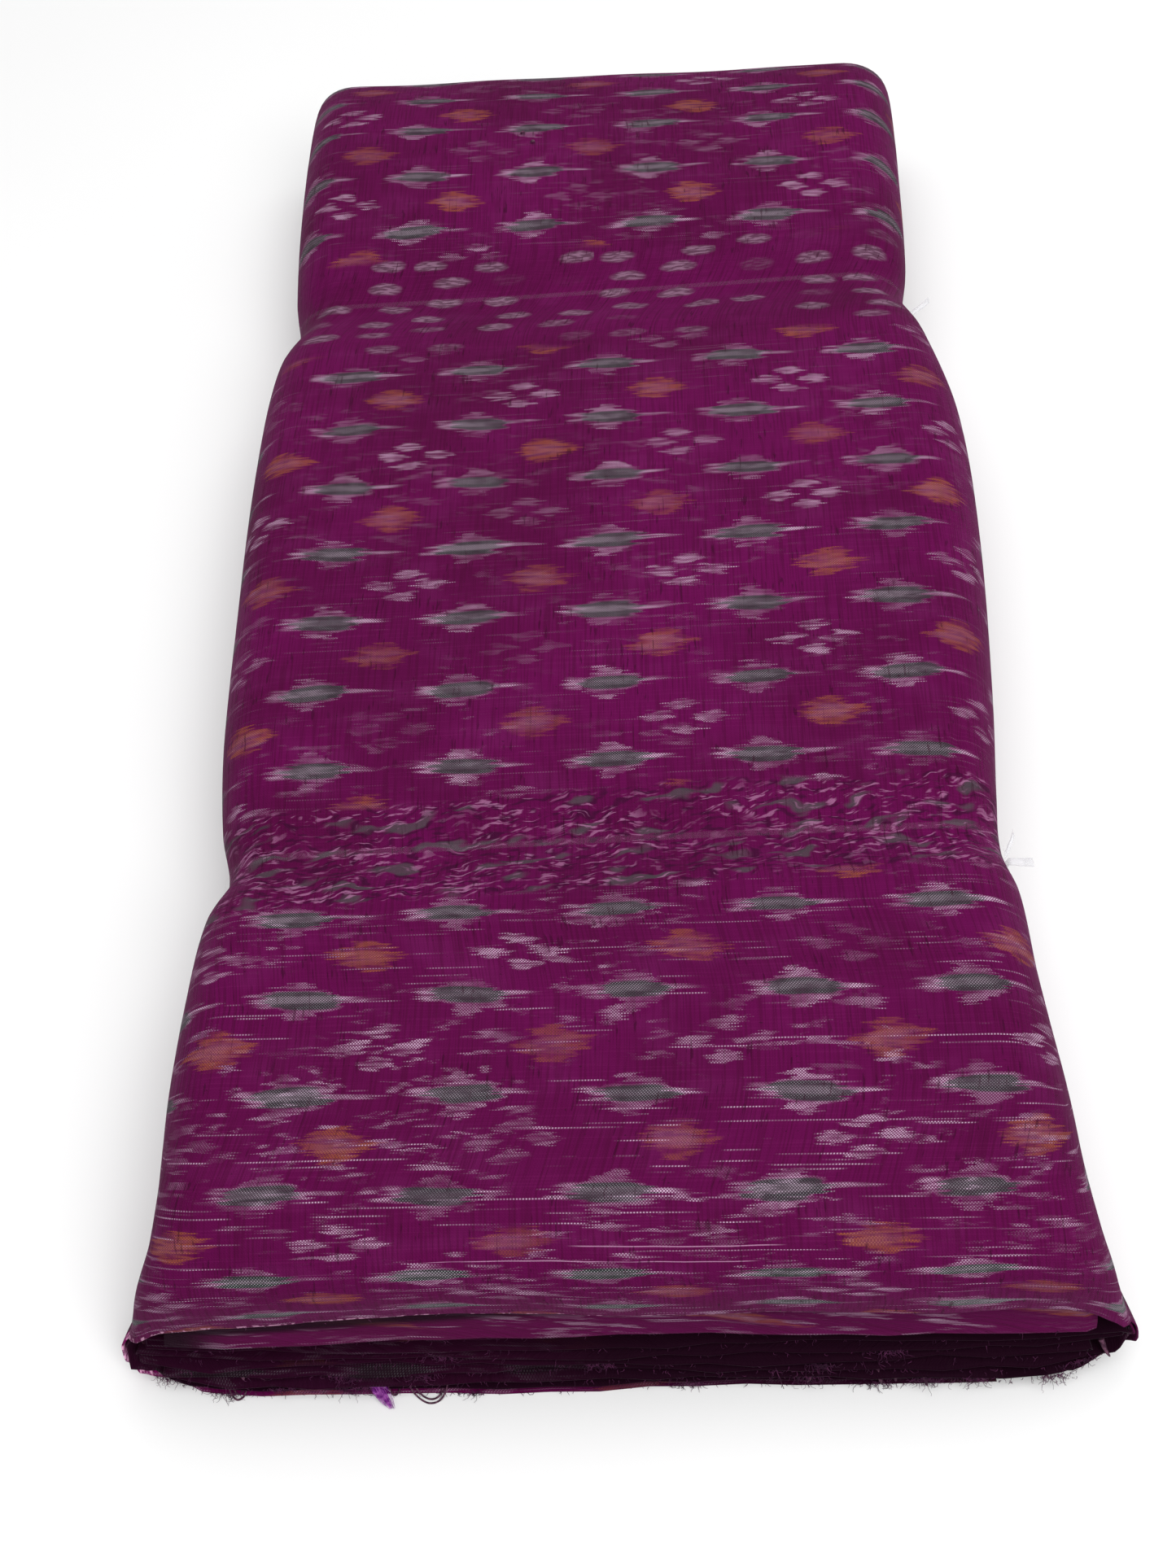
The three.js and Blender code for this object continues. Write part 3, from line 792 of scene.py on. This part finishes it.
    # Pale yarn: stray warp yarns, the leaves' outer parts, the crosses and the scattered dabs
    stray = random_of(n, warp, 2.3).rise(0.78, 0.9)
    stray = stray * noise_of(n, xs, warp * pitch, 26.0, 0.3, 7.9, 1.0).rise(0.56, 0.66)
    stray = stray * (0.08 + to_front.rise(140.0, 240.0) * 0.5)
    lilac = (rim * 0.34).most(dabs * 0.85).most(fringe * 0.65).most(tail).most(crosses)
    lilac = ((lilac * worn.rise(0.3, 0.58)).most(stray).most(scatter) * plain).clamp()
    green = (leaf * plain * (0.8 + worn * 0.3)).clamp()

    # Ground: uneven dye, dark slubs along the weft, fine streaks both ways
    shade = noise_of(n, x, y, 60.0, 45.0, 0.4, 1.0)
    haze = noise_of(n, x, y, 19.0, 12.0, 5.7, 1.0)
    streak = noise_of(n, x, y, 38.0, 0.6, 2.9, 1.0)
    weft = noise_of(n, x, y, 0.75, 24.0, 5.9, 1.0)
    long_slub = noise_of(n, x, y, 0.8, 40.0, 8.1, 1.0).rise(0.69, 0.74)
    slub = noise_of(n, x, y, 1.0, 8.0, 1.7, 1.0)
    slub_site = noise_of(n, x, y, 15.0, 13.0, 3.8, 1.0)
    slubs = slub.rise(0.64, 0.69) * slub_site.rise(0.5, 0.58)
    speck = noise_of(n, x, y, 1.2, 1.0, 6.6, 0.0).rise(0.84, 0.87)
    near = to_front.rise(110.0, 290.0)
    colour = mix(n, shade.rise(0.3, 0.7), look.deep_dye, look.ground_dye)
    for share, dye in (
        (near * 0.75, look.front_dye),
        (haze.rise(0.5, 0.74) * 0.2, HAZE_DYE),
        (streak.rise(0.5, 0.75) * 0.16, STREAK_DYE),
        (weft.rise(0.42, 0.68) * 0.5, WEFT_DYE),
    ):
        colour = mix(n, share, colour, dye)

    # Two pale slipped warp yarns near the front
    slip_a, slip_b = (slipped_yarn(x, y, *yarn) for yarn in SLIPPED_YARNS)
    slips = slip_a.most(slip_b) * worn.rise(0.25, 0.5)

    # Dyed warp yarns show between the ground's weft yarns
    dots_flat, dots_slope = (0.05 + patchy * 0.22) * (1.0 - slope_leaf), (0.14 + patchy * 0.5) * slope_leaf
    dotted = leaf * plain * dots * (dots_flat + dots_slope)
    for share, dye in (
        (green * (0.82 + show * 0.18), mix(n, slope_leaf, look.leaf_dye, SLOPE_LEAF_DYE)),
        (dotted.clamp(), LEAF_DOTS),
        ((heart * leaf * plain * (0.12 + show * 0.7)).clamp(), LEAF_HEART),
        ((star * plain * (0.42 + show * 0.75)).clamp(), look.star_dye),
        ((star_heart * plain * (0.12 + show * 0.35)).clamp(), STAR_HEART),
        ((lilac * (0.10 + show * 1.0)).clamp(), look.resist),
        (slips * 0.7, SLIPPED_DYE),
    ):
        colour = mix(n, share, colour, dye)

    # Broken pattern in the pinched bands: crumpled dashes in front, soft spots at the back
    slope = front_y - place_x * 0.09 + (noise_of(n, place_x, place_y, 15.0, 9.0, 8.4, 2.0) - 0.5) * 10.0
    wiggle = noise_of(n, place_x, slope, 6.0, 1.25, 4.4, 2.5, 0.6)
    where = noise_of(n, place_x, place_y, 24.0, 10.0, 9.6, 1.0)
    pale = wiggle.rise(0.55, 0.66) * (0.25 + where.rise(0.36, 0.6) * 0.75)
    dark = noise_of(n, place_x, slope, 5.0, 1.7, 7.2, 1.0).rise(0.5, 0.68)
    dull = noise_of(n, place_x, slope, 19.0, 5.5, 3.1, 1.0, 0.6).rise(0.58, 0.68)
    cell = (place_x / 27.0).floor() * 7.7 + (back_y / 11.0).floor() * 3.3
    spot_x = (place_x - 13.5).wrap(27.0) + (random_of(n, cell, 0.9) - 0.5) * 12.0 + bent * 6.0
    spot_y = (back_y - 5.5).wrap(11.0) + (random_of(n, cell, 4.2) - 0.5) * 4.5 + bent * 5.0
    round_ = spot_x * spot_x / 62.0 + spot_y * spot_y / 8.5
    spots = (1.0 - round_.rise(0.3, 1.3)) * random_of(n, cell, 2.6).rise(0.2, 0.6) * back_band
    fleck = noise_of(n, place_x, back_y, 5.0, 0.9, 1.9, 1.0)
    for share, dye in (
        (front_band * dark * 0.7, BAND_DARK),
        (front_band * dull * 0.7, BAND_GREY),
        (front_band * pale * 0.55, BAND_PALE),
        (back_band * dark * 0.25, FAR_DARK),
        (spots * 0.6, FAR_SPOT),
        (spots * fleck.rise(0.42, 0.62) * 0.6, FAR_FLECK),
        (slubs.most(long_slub * 0.7) * 0.55, SLUB_DYE),
        (speck * 0.6, SPECK_DYE),
    ):
        colour = mix(n, share, colour, dye)

    # Every selvedge has its bright turned yarns. Deep in the front the lower laps get painted shade, darker
    # in the crevices behind their edges, towards the right and next to the floor, lighter at the right
    # corner, and painted light on their edges, most at the left
    edge = y + SELVEDGE_Y
    beads = noise_of(n, x, y, 2.2, 5.0, 2.4, 1.0, 0.7).rise(0.5, 0.62) * (1.0 - edge.rise(0.6, 1.2))
    beads = (beads * place_z.rise(2.5, 6.0)).clamp()
    colour = mix(n, beads * 0.7, colour, BEAD_DYE)
    low = (1.0 - place_z.rise(21.0, 26.0)) * to_front.rise(284.0, 294.0)
    painted_shade_to_right, deep = place_x.rise(-60.0, 70.0), edge.rise(1.7, 3.2)
    # Painted light: the lower laps' colour is doubled near their edges, most at the left
    colour = mix(n, low * (1.0 - deep) * (1.0 - painted_shade_to_right * 0.8), colour, colour, "ADD")
    # Painted shade: how dark the lower laps are painted, deeper in the crevices, towards the right and at
    # the floor
    low = low * (painted_shade_to_right * 0.5 + deep * (0.98 - painted_shade_to_right * 0.2) + (1.0 - place_z.rise(1.0, 6.0)) * 0.5)
    corner = place_x.rise(120.0, 136.0) * (1.0 - x.rise(300.0, 400.0)) * place_z.rise(8.0, 20.0)
    low = low * (1.0 - corner * 0.8)
    colour = mix(n, (low * look.front_shade).clamp(), colour, DEEP_SHADE)

    # Painted shadow: the hem of the top lap shades the lap below it, and that lap's left end is painted dark
    # as if in shade
    hem = 33.1 - to_left.rise(30.0, 150.0) * 5.0
    shadow = (place_z - hem - bent * 3.0).rise(0.0, 2.4) * (1.0 - place_x.rise(45.0, 105.0))
    shadow = shadow.most(to_left.rise(118.0, 138.0))
    shadow = shadow * x.rise(400.0, 410.0) * place_z.rise(21.0, 25.0) * to_front.rise(262.0, 275.0)
    colour = mix(n, shadow * 0.93, colour, HEM_SHADE)

    height = over * 0.45 + slub.rise(0.5, 0.8) * 0.9 + weft * 0.6
    height = height + front_band * wiggle * 2.2 + back_band * fleck * 0.8
    normal = n.add("ShaderNodeBump", {"Height": height, "Strength": 0.6, "Distance": 0.00022})
    return finished(
        material,
        n,
        {
            "Base Color": colour,
            "Roughness": 0.66 + weft * 0.2,
            "Normal": normal,
            "Specular IOR Level": 0.06,
            "Sheen Weight": 0.03,
            "Sheen Roughness": 0.4,
            "Sheen Tint": (0.95, 0.6, 0.85, 1.0),
        },
    )


def fibre_material(name, dark, pale, size, rough):
    """Loose fibres whose tone changes along them."""
    material, n = new_material(name)
    place = n.add("ShaderNodeTexCoord", out=3)
    tone = n.add("ShaderNodeTexNoise", {"Vector": place, "Scale": size, "Detail": 2.0})
    return finished(
        material,
        n,
        {
            "Base Color": mix(n, tone.rise(0.38, 0.66), dark, pale),
            "Roughness": tone * 0.2 + rough,
            "Specular IOR Level": 0.2,
        },
    )


def film_material(look):
    """Clear film: hardly seen where it lies on the cloth, more where its free ends catch the light."""
    material, n = new_material("clear_film")
    place = n.add("ShaderNodeTexCoord", out=3)
    haze = n.add("ShaderNodeTexNoise", {"Vector": place, "Scale": 260.0, "Detail": 3.0})
    crease = n.add("ShaderNodeTexNoise", {"Vector": place, "Scale": 700.0, "Detail": 2.0})
    free = n.add("ShaderNodeSeparateXYZ", {"Vector": place}).rise(*FREE_ENDS_X)
    clear = free * (look.end_alpha - look.tie_alpha) + look.tie_alpha
    return finished(
        material,
        n,
        {
            "Base Color": mix(n, haze, (0.72, 0.73, 0.78), (0.95, 0.95, 0.98)),
            "Roughness": 0.08 + haze * 0.14,
            "Alpha": clear * (0.6 + haze * 0.8),
            "Normal": n.add("ShaderNodeBump", {"Height": crease, "Strength": 0.5, "Distance": 0.0004}),
            "IOR": 1.49,
            "Specular IOR Level": 0.5,
        },
    )


def floor_material():
    material, n = new_material("pale_floor")
    place = n.add("ShaderNodeTexCoord", out=3)
    tone = n.add("ShaderNodeTexNoise", {"Vector": place, "Scale": 3.0, "Detail": 2.0})
    return finished(
        material,
        n,
        {"Base Color": mix(n, tone, (0.86, 0.86, 0.86), (0.9, 0.9, 0.9)), "Roughness": 0.9},
    )


def object_from(bm, name, material):
    """An object in the scene, made from a bmesh."""
    mesh = bpy.data.meshes.new(name)
    bm.to_mesh(mesh)
    bm.free()
    made = bpy.data.objects.new(name, mesh)
    bpy.context.scene.collection.objects.link(made)
    mesh.materials.append(material)
    return made


Length = partial(FloatProperty, unit="LENGTH", precision=5)
Dye = partial(FloatVectorProperty, subtype="COLOR")


class ClothSizes(bpy.types.PropertyGroup):
    sheet: Length(name="Sheet thickness", description="Thickness of one ply of the cloth", default=0.0005)
    fine: FloatProperty(name="Fineness", description="Share of the full number of columns", default=1.0)
    smooth: BoolProperty(name="Smooth", description="Shade the cloth smoothly", default=True)


class ClothLooks(bpy.types.PropertyGroup):
    ground_dye: Dye(name="Ground", description="Magenta of the ground", default=(0.112, 0.0014, 0.062))
    deep_dye: Dye(name="Deep ground", description="Darker patches of it", default=(0.082, 0.0010, 0.042))
    front_dye: Dye(name="Front", description="Bluer magenta at the front", default=(0.093, 0.0011, 0.050))
    leaf_dye: Dye(name="Leaves", description="Grey green of the leaves", default=(0.020, 0.025, 0.026))
    star_dye: Dye(name="Stars", description="Orange of the stars", default=(0.36, 0.105, 0.016))
    resist: Dye(name="Undyed yarn", description="Pale yarn that the dye left", default=(0.72, 0.50, 0.68))
    yarn_pitch: Length(name="Yarn pitch", description="Distance from yarn to yarn", default=0.00048)
    # Strength of the painted shade on the lower front laps
    front_shade: FloatProperty(name="Front shade", description="Darkness of the lower front", default=0.9)
    tie_alpha: FloatProperty(name="Tie opacity", description="How much the clear ties show", default=0.008)
    end_alpha: FloatProperty(name="End opacity", description="How much their free ends show", default=0.3)


class TieSizes(bpy.types.PropertyGroup):
    width: Length(name="Width", description="Width of a tie", default=0.0026)
    film: Length(name="Film", description="Thickness of a tie", default=0.0004)


class FuzzSizes(bpy.types.PropertyGroup):
    hairs: IntProperty(name="Hairs", description="Number of loose fibres along the selvedges", default=760)
    clump: IntProperty(name="Clump", description="Number of fibres in one clump of fuzz", default=34)
    tuft: IntProperty(name="Tuft", description="Number of fibres in the bright tuft", default=110)
    hair: Length(name="Fibre", description="Radius of a fibre", default=0.0001)
    yarn: Length(name="Yarn", description="Radius of the loose yarn loops", default=0.00032)


class StageSizes(bpy.types.PropertyGroup):
    floor: Length(name="Floor", description="Side of the floor", default=8.0)
    light: FloatProperty(name="Light", description="Power of the main light in watts", default=40.0)
    sky: FloatProperty(name="Sky", description="Strength of the even light from all round", default=0.4)


def flat_sizes(points_outer, points_inner):
    """Width and length of the cloth before it was folded, in metres."""
    width = lengths_along(points_outer, 1)[:, -1].mean()
    middle = points_outer.shape[1] // 4
    length = lengths_along(points_outer, 0)[-1, middle]
    length += lengths_along(points_inner, 0)[-1, points_inner.shape[1] // 4]
    return width * MM, length * MM


class MakeCloth(bpy.types.Operator):
    """Folds the ikat length into its nine laps"""

    bl_idname = "cloth.make_cloth"
    bl_label = "Cloth"

    def execute(self, context):
        sizes = context.scene.cloth_sizes
        sheet = sizes.sheet * 1000
        fine = sizes.fine * 1.0
        pinches = {tie + off for tie in TIES_Y for off in range(-PINCH_REACH, PINCH_REACH + 1, PINCH_STEP)}
        spaced = np.arange(FRONT_BEND_FROM + 4, BACK_BEND_FROM, ROW_STEP)
        loose = {v for v in spaced if all(abs(v - tie) > PINCH_REACH + 1 for tie in TIES_Y)}
        places = [*sorted(loose | pinches), *np.linspace(BACK_BEND_FROM + 2, HALF_LENGTH, 20)[:-1]]
        outer_rows = rows_of_plies(34, places, HIDDEN_ROWS, 4)
        inner_rows = rows_of_plies(26, HIDDEN_ROWS[::-1], HIDDEN_ROWS, 3)
        outer, inner = outer_path(fine), inner_path()
        bm = bmesh.new()
        patterns, bakes, seams = [], [], []
        outer_points = sheet_points(outer, outer_rows, sheet)
        inner_points = sheet_points(inner, inner_rows, sheet)
        start = float(lengths_along(outer_points, 0)[-1, 10])
        for path, rows, points, begin in (
            (outer, outer_rows, outer_points, 0.0),
            (inner, inner_rows, inner_points, start),
        ):
            along, across = points.shape[0] - 1, points.shape[1] - 1
            made = bmesh.ops.create_grid(bm, x_segments=along, y_segments=across, size=1.0)["verts"]
            spots = np.array([v.co[:2] for v in made])
            i = np.rint((spots[:, 0] + 1) / 2 * along).astype(int)
            j = np.rint((spots[:, 1] + 1) / 2 * across).astype(int)
            pattern = pattern_points(points, path, rows, begin)
            for vert, place in zip(made, points[i, j] * MM):
                vert.co = place
            patterns.append(pattern[i, j])
            bakes.append(self.bake_places(path, rows, len(bakes))[i, j])
            order = np.argsort(j)
            ends = i == (along if len(bakes) == 1 else 0)
            seams.append([made[k] for k in order if ends[k]])
        edges = [bm.edges.get(pair) for line in seams for pair in zip(line, line[1:])]
        bmesh.ops.bridge_loops(bm, edges=edges)
        bmesh.ops.recalc_face_normals(bm, faces=bm.faces)
        cloth = object_from(bm, "ikat_length", cloth_material(context.scene.cloth_looks))
        self.map_points(cloth.data, "pattern", np.concatenate(patterns) * MM)
        self.map_points(cloth.data, "OFBake", np.concatenate(bakes))
        cloth.data.uv_layers.active = cloth.data.uv_layers["pattern"]
        if sizes.smooth:
            cloth.data.polygons.foreach_set("use_smooth", [True] * len(cloth.data.polygons))
        wall = cloth.modifiers.new("ply", "SOLIDIFY")
        wall.thickness = sizes.sheet
        wall.offset = 0.0
        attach(cloth, "root")
        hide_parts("cloth")
        width, length = flat_sizes(outer_points, inner_points)
        return {"FINISHED"}

    @staticmethod
    def bake_places(path, rows, which):
        """Unit-square places: most of the square goes to the outer ply that shows."""

        def parted(at, cut, share, rest):
            return np.where(at <= cut, at / cut * share, share + (at - cut) / (1 - cut) * rest)

        u, v = np.linspace(0, 1, path.shape[1]), np.linspace(0, 1, rows.shape[1])
        if which == 0:
            v = parted(v, float(v[int(np.argmin(rows[1] < 0))]), 0.80, 0.03)
            u = parted(u, float(u[int(np.argmax(path[5] >= 0.02))]), 0.08, 0.92)
        else:
            v = 0.84 + v * 0.16
        return np.stack(np.broadcast_arrays(u[:, None], v[None, :]), -1)

    @staticmethod
    def map_points(mesh, name, spots):
        """Gives the mesh a UV map from one place for each of its vertices."""
        layer = mesh.uv_layers.new(name=name)
        corners = np.empty(len(mesh.loops), dtype=np.int32)
        mesh.loops.foreach_get("vertex_index", corners)
        layer.data.foreach_set("uv", spots[corners].astype(np.float32).ravel())


def tie_route(tie_y, lower_end, upper_end):
    """Points of a tie's loop, and of its two free ends, in millimetres."""
    path = FoldedPath()
    path.stop(TUCKED_END, lap_height(0), -1, 0)
    for x in TIE_STOPS[::-1]:
        path.stop(x, lap_height(0), -1, 0)
    path.turn(0, LAPS - 1, -1, 12)
    for x in TIE_STOPS:
        path.stop(x, lap_height(LAPS - 1), 1, 0)
    path.turn(LAPS - 1, 1, 1, 12)
    x, h, dx, dh = path.columns()[:4]
    v = np.full_like(x, tie_y)
    lengthwise, normal = sheet_directions(x, h, dx, dh, v)
    off = LAP_THICKNESS / 2 * thickness_share(h, v) + FILM_OFFSET
    points = place_middle(x, h, v) - normal * off[:, None]
    side = points[-7]
    first, rest, last = points[0], points[1:-7], points[-6:-1]
    low = [side + np.array(lower_end) * k for k in (1, 0.55, 0.2)]
    high = [side + np.array(upper_end) * k for k in (0.2, 0.55, 1)]
    corner = first + np.array([6, 0, 0.4])
    route = [*low, *last, corner, first, *rest, *high]
    return [Vector(p - MIDDLE) * MM for p in route]


def tube_mesh(name, routes, radius, material):
    """Thin round yarns along routes of points, as one mesh."""
    curve = bpy.data.curves.new(name, "CURVE")
    curve.dimensions = "3D"
    curve.bevel_depth = radius
    curve.bevel_resolution = 0
    curve.use_fill_caps = True
    for route in routes:
        line = curve.splines.new("POLY")
        line.points.add(len(route) - 1)
        for point, (place, thick) in zip(line.points, route):
            point.co = (*place, 1.0)
            point.radius = thick
    holder = bpy.data.objects.new(name, curve)
    bpy.context.scene.collection.objects.link(holder)
    mesh = bpy.data.meshes.new_from_object(holder.evaluated_get(bpy.context.evaluated_depsgraph_get()))
    bpy.data.objects.remove(holder)
    bpy.data.curves.remove(curve)
    mesh.name = name
    mesh.materials.clear()
    mesh.materials.append(material)
    made = bpy.data.objects.new(name, mesh)
    bpy.context.scene.collection.objects.link(made)
    return made


class MakeTies(bpy.types.Operator):
    """Lays the two clear ties round the bundle"""

    bl_idname = "cloth.make_ties"
    bl_label = "Ties"

    def execute(self, context):
        sizes = context.scene.tie_sizes
        film = film_material(context.scene.cloth_looks)
        for name, node, tie_y, low, high in (
            ("tie_front_film", "tie_front", FRONT_TIE_Y, (9.5, -3.5, 3.5), (4.5, 10.5, 2.5)),
            ("tie_back_film", "tie_back", BACK_TIE_Y, (4.5, -3, -3), (10.5, 7.5, 3.5)),
        ):
            route = tie_route(tie_y, low, high)
            dense = []
            for a, b in zip(route, route[1:]):
                dense += [a.lerp(b, k / 4) for k in range(4)]
            dense.append(route[-1])
            bm = bmesh.new()
            made = bmesh.ops.create_grid(bm, x_segments=len(dense) - 1, y_segments=4, size=1.0)["verts"]
            for vert in made:
                i = round((vert.co.x + 1) / 2 * (len(dense) - 1))
                side = vert.co.y
                end = min(i, len(dense) - 1 - i)
                wide = sizes.width * (1.0 + 0.35 * math.exp(-end / 5)) / 2
                crease = (0.0009 * abs(side) + 0.0002 * math.cos(i * 0.9)) * math.exp(-((end / 7) ** 2))
                ahead = dense[min(i + 1, len(dense) - 1)] - dense[max(i - 1, 0)]
                out = Vector((0, 1, 0)).cross(ahead).normalized()
                vert.co = dense[i] + Vector((0, side * wide, 0)) + out * crease
            bmesh.ops.solidify(bm, geom=bm.faces[:], thickness=sizes.film)
            bmesh.ops.recalc_face_normals(bm, faces=bm.faces)
            tie = object_from(bm, name, film)
            tie.data.polygons.foreach_set("use_smooth", [True] * len(tie.data.polygons))
            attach(tie, "root")
            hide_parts(node)
        return {"FINISHED"}


def front_edge_point(x, lap, side):
    """A point on a ply's selvedge in front, in metres, and the way that the lap runs there."""
    h, v = np.array([lap_height(lap)]), np.array([-HALF_LENGTH])
    xs = np.array([float(x)])
    lengthwise, normal = sheet_directions(xs, h, np.array([1.0]), np.array([0.0]), v)
    offset = LAP_THICKNESS / 2 * thickness_share(h, v) * 0.8
    point = place_middle(xs, h, v) + normal * (side * offset)[..., None]
    return Vector((point[0] - MIDDLE) * MM), Vector(lengthwise[0])


def curl(rng, start, heading, reach, steps, bend):
    """A fibre that starts at a point and wanders, never below the floor."""
    point, heading = Vector(start), Vector(heading).normalized()
    route = [(point.copy(), 1.0)]
    for step in range(steps):
        point = point + heading * reach / steps
        point.z = max(point.z, FLOOR_GAP)
        route.append((point.copy(), 1.0 - 0.6 * (step + 1) / steps))
        turn = Vector((rng.gauss(0, bend), rng.gauss(0, bend * 0.6), rng.gauss(0, bend)))
        heading = (heading + turn).normalized()
    return route


def loop_route(points, pieces=6):
    """A smooth yarn through a few points given in millimetres."""
    spots = [Vector(p) * MM for p in points]
    spots = [spots[0] * 2 - spots[1], *spots, spots[-1] * 2 - spots[-2]]
    route = []
    for a, b, c, d in zip(spots, spots[1:], spots[2:], spots[3:]):
        for k in range(pieces):
            t = k / pieces
            place = b * 2 + (c - a) * t + (a * 2 - b * 5 + c * 4 - d) * t**2 + (b * 3 - a - c * 3 + d) * t**3
            route.append((place / 2, 1.0))
    route.append((spots[-2], 1.0))
    return route


def thickened(route, share):
    """The route with a thickness that changes from its start, 0, to its end, 1."""
    return [(place, share(i / (len(route) - 1))) for i, (place, _) in enumerate(route)]


class MakeFuzz(bpy.types.Operator):
    """Adds loose fibres, yarn loops and the bright tuft along the selvedges"""

    bl_idname = "cloth.make_fuzz"
    bl_label = "Fuzz"

    def execute(self, context):
        sizes = context.scene.fuzz_sizes
        rng = random.Random(11)
        fuzz = []
        for _ in range(sizes.hairs):
            lap = rng.choice((0, 0, 1, 1, 2, 2, 3, 4, 5, 6, 7, 8))
            start, lengthwise = front_edge_point(rng.uniform(-132, 132), lap, rng.choice((-1, 1)))
            heading = lengthwise * -1 + Vector((rng.gauss(0, 0.9), 0, rng.gauss(-0.1, 0.6)))
            start = start + lengthwise * 0.0006
            fuzz.append(curl(rng, start, heading, rng.uniform(0.0008, 0.0026), 4, 0.55))
        for x, lap, reach in CLUMPS:
            for _ in range(sizes.clump):
                start, lengthwise = front_edge_point(x + rng.gauss(0, 2.6), lap, rng.choice((-1, 1)))
                heading = Vector((rng.gauss(0, 0.7), -0.6, rng.gauss(-0.9, 0.5)))
                start = start + lengthwise * 0.0008
                fuzz.append(curl(rng, start, heading, reach * MM * rng.uniform(0.5, 1.3), 8, 0.62))
        fuzz.append(loop_route(HANGING_FIBRE, 3))
        loops = [loop_route(points) for points in YARN_LOOPS]
        knots = [thickened(loop_route(points, 2), lambda t: 2.1 if 0 < t < 1 else 0.8) for points in KNOTS]
        ends = [thickened(loop_route(points, 3), lambda t: 3.2 - 2.3 * t) for points in YARN_ENDS]
        tuft = []
        root, middle, tip = (Vector(p) * MM for p in TUFT)
        for _ in range(sizes.tuft):
            aside = Vector((rng.gauss(0, 0.0011), rng.gauss(0, 0.0005), abs(rng.gauss(0, 0.0009))))
            reach = rng.uniform(0.55, 1.0)
            route = []
            for i in range(6):
                t = i / 5 * reach
                place = root * (1 - t) ** 2 + middle * 2 * t * (1 - t) + tip * t**2
                place = place + aside * (0.25 + 3.2 * t * (1 - t))
                place.z = max(place.z, FLOOR_GAP)
                route.append((place, 1.0 - 0.5 * t))
            tuft.append(route)
        white = [loop_route(points, 3) for points in PALE_FIBRES]
        for name, routes, radius, finish in (
            ("selvedge_fuzz", fuzz, sizes.hair, "loose_fibre"),
            ("yarn_loops", loops + knots + ends, sizes.yarn, "loose_yarn"),
            ("bright_tuft", tuft, sizes.hair * 1.1, "tuft_fibre"),
            ("pale_fibres", white, sizes.hair, "pale_fibre"),
        ):
            made = tube_mesh(name, routes, radius, fibre_material(finish, *FIBRES[finish]))
            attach(made, "root")
        return {"FINISHED"}


class MakeStage(bpy.types.Operator):
    """Sets the floor, the soft studio light and the camera"""

    bl_idname = "cloth.make_stage"
    bl_label = "Stage"

    def execute(self, context):
        sizes = context.scene.stage_sizes
        bm = bmesh.new()
        bmesh.ops.create_grid(bm, x_segments=1, y_segments=1, size=sizes.floor / 2)
        floor = object_from(bm, "floor", floor_material())
        world = bpy.data.worlds.new("studio")
        world.use_nodes = True
        background = world.node_tree.nodes["Background"]
        background.inputs["Color"].default_value = (1.0, 1.0, 1.0, 1.0)
        background.inputs["Strength"].default_value = sizes.sky
        context.scene.world = world
        for name, place, aim, side, power in (
            ("top_light", (0.15, 0.25, 2.1), (0, 0, 0), 2.6, sizes.light),
            ("front_light", (0.75, -1.0, 1.35), (0, -0.1, 0), 0.9, sizes.light * 0.3),
        ):
            light = bpy.data.lights.new(name, "AREA")
            light.energy = power
            light.size = side
            holder = bpy.data.objects.new(name, light)
            holder.location = place
            holder.rotation_euler = (Vector(aim) - Vector(place)).to_track_quat("-Z", "Y").to_euler()
            context.scene.collection.objects.link(holder)
        context.scene.view_settings.view_transform = "Standard"
        camera = bpy.data.cameras.new("view")
        camera.sensor_width = SENSOR
        camera.sensor_fit = "AUTO"
        camera.lens = FOCAL_DOTS / PICTURE_DOTS * SENSOR
        holder = bpy.data.objects.new("view", camera)
        pitch, roll, yaw, turn = (math.radians(a) for a in CAMERA_TURNS)
        forward = Vector((0, math.cos(pitch), -math.sin(pitch)))
        right = Vector((1, 0, 0))
        down = forward.cross(right)
        c, s = math.cos(roll), math.sin(roll)
        right, down = c * right + s * down, c * down - s * right
        spin = Matrix.Rotation(turn - yaw, 3, "Z")
        axes = Matrix((spin @ right, spin @ -down, spin @ -forward)).transposed()
        holder.matrix_world = Matrix.Translation(CAMERA_PLACE) @ axes.to_4x4()
        context.scene.collection.objects.link(holder)
        context.scene.camera = holder
        return {"FINISHED"}


class ClothPanel(bpy.types.Panel):
    bl_idname = "VIEW3D_PT_folded_cloth"
    bl_label = "Folded ikat cloth"
    bl_space_type = "VIEW_3D"
    bl_region_type = "UI"
    bl_category = "Cloth"

    def draw(self, context):
        for operator in OPERATORS:
            self.layout.operator(operator.bl_idname)


OPERATORS = (MakeStage, MakeCloth, MakeTies, MakeFuzz)
GROUPS = {
    "cloth_sizes": ClothSizes,
    "cloth_looks": ClothLooks,
    "tie_sizes": TieSizes,
    "fuzz_sizes": FuzzSizes,
    "stage_sizes": StageSizes,
}


def register():
    for cls in (*GROUPS.values(), *OPERATORS, ClothPanel):
        bpy.utils.register_class(cls)
    for name, group in GROUPS.items():
        setattr(bpy.types.Scene, name, PointerProperty(type=group))


def unregister():
    for name in GROUPS:
        delattr(bpy.types.Scene, name)
    for cls in reversed((*GROUPS.values(), *OPERATORS, ClothPanel)):
        bpy.utils.unregister_class(cls)


def main():
    register()
    bpy.ops.cloth.make_stage()
    bpy.ops.cloth.make_fuzz()
    bpy.ops.cloth.make_cloth()
    bpy.ops.cloth.make_ties()


if __name__ == "__main__":
    main()
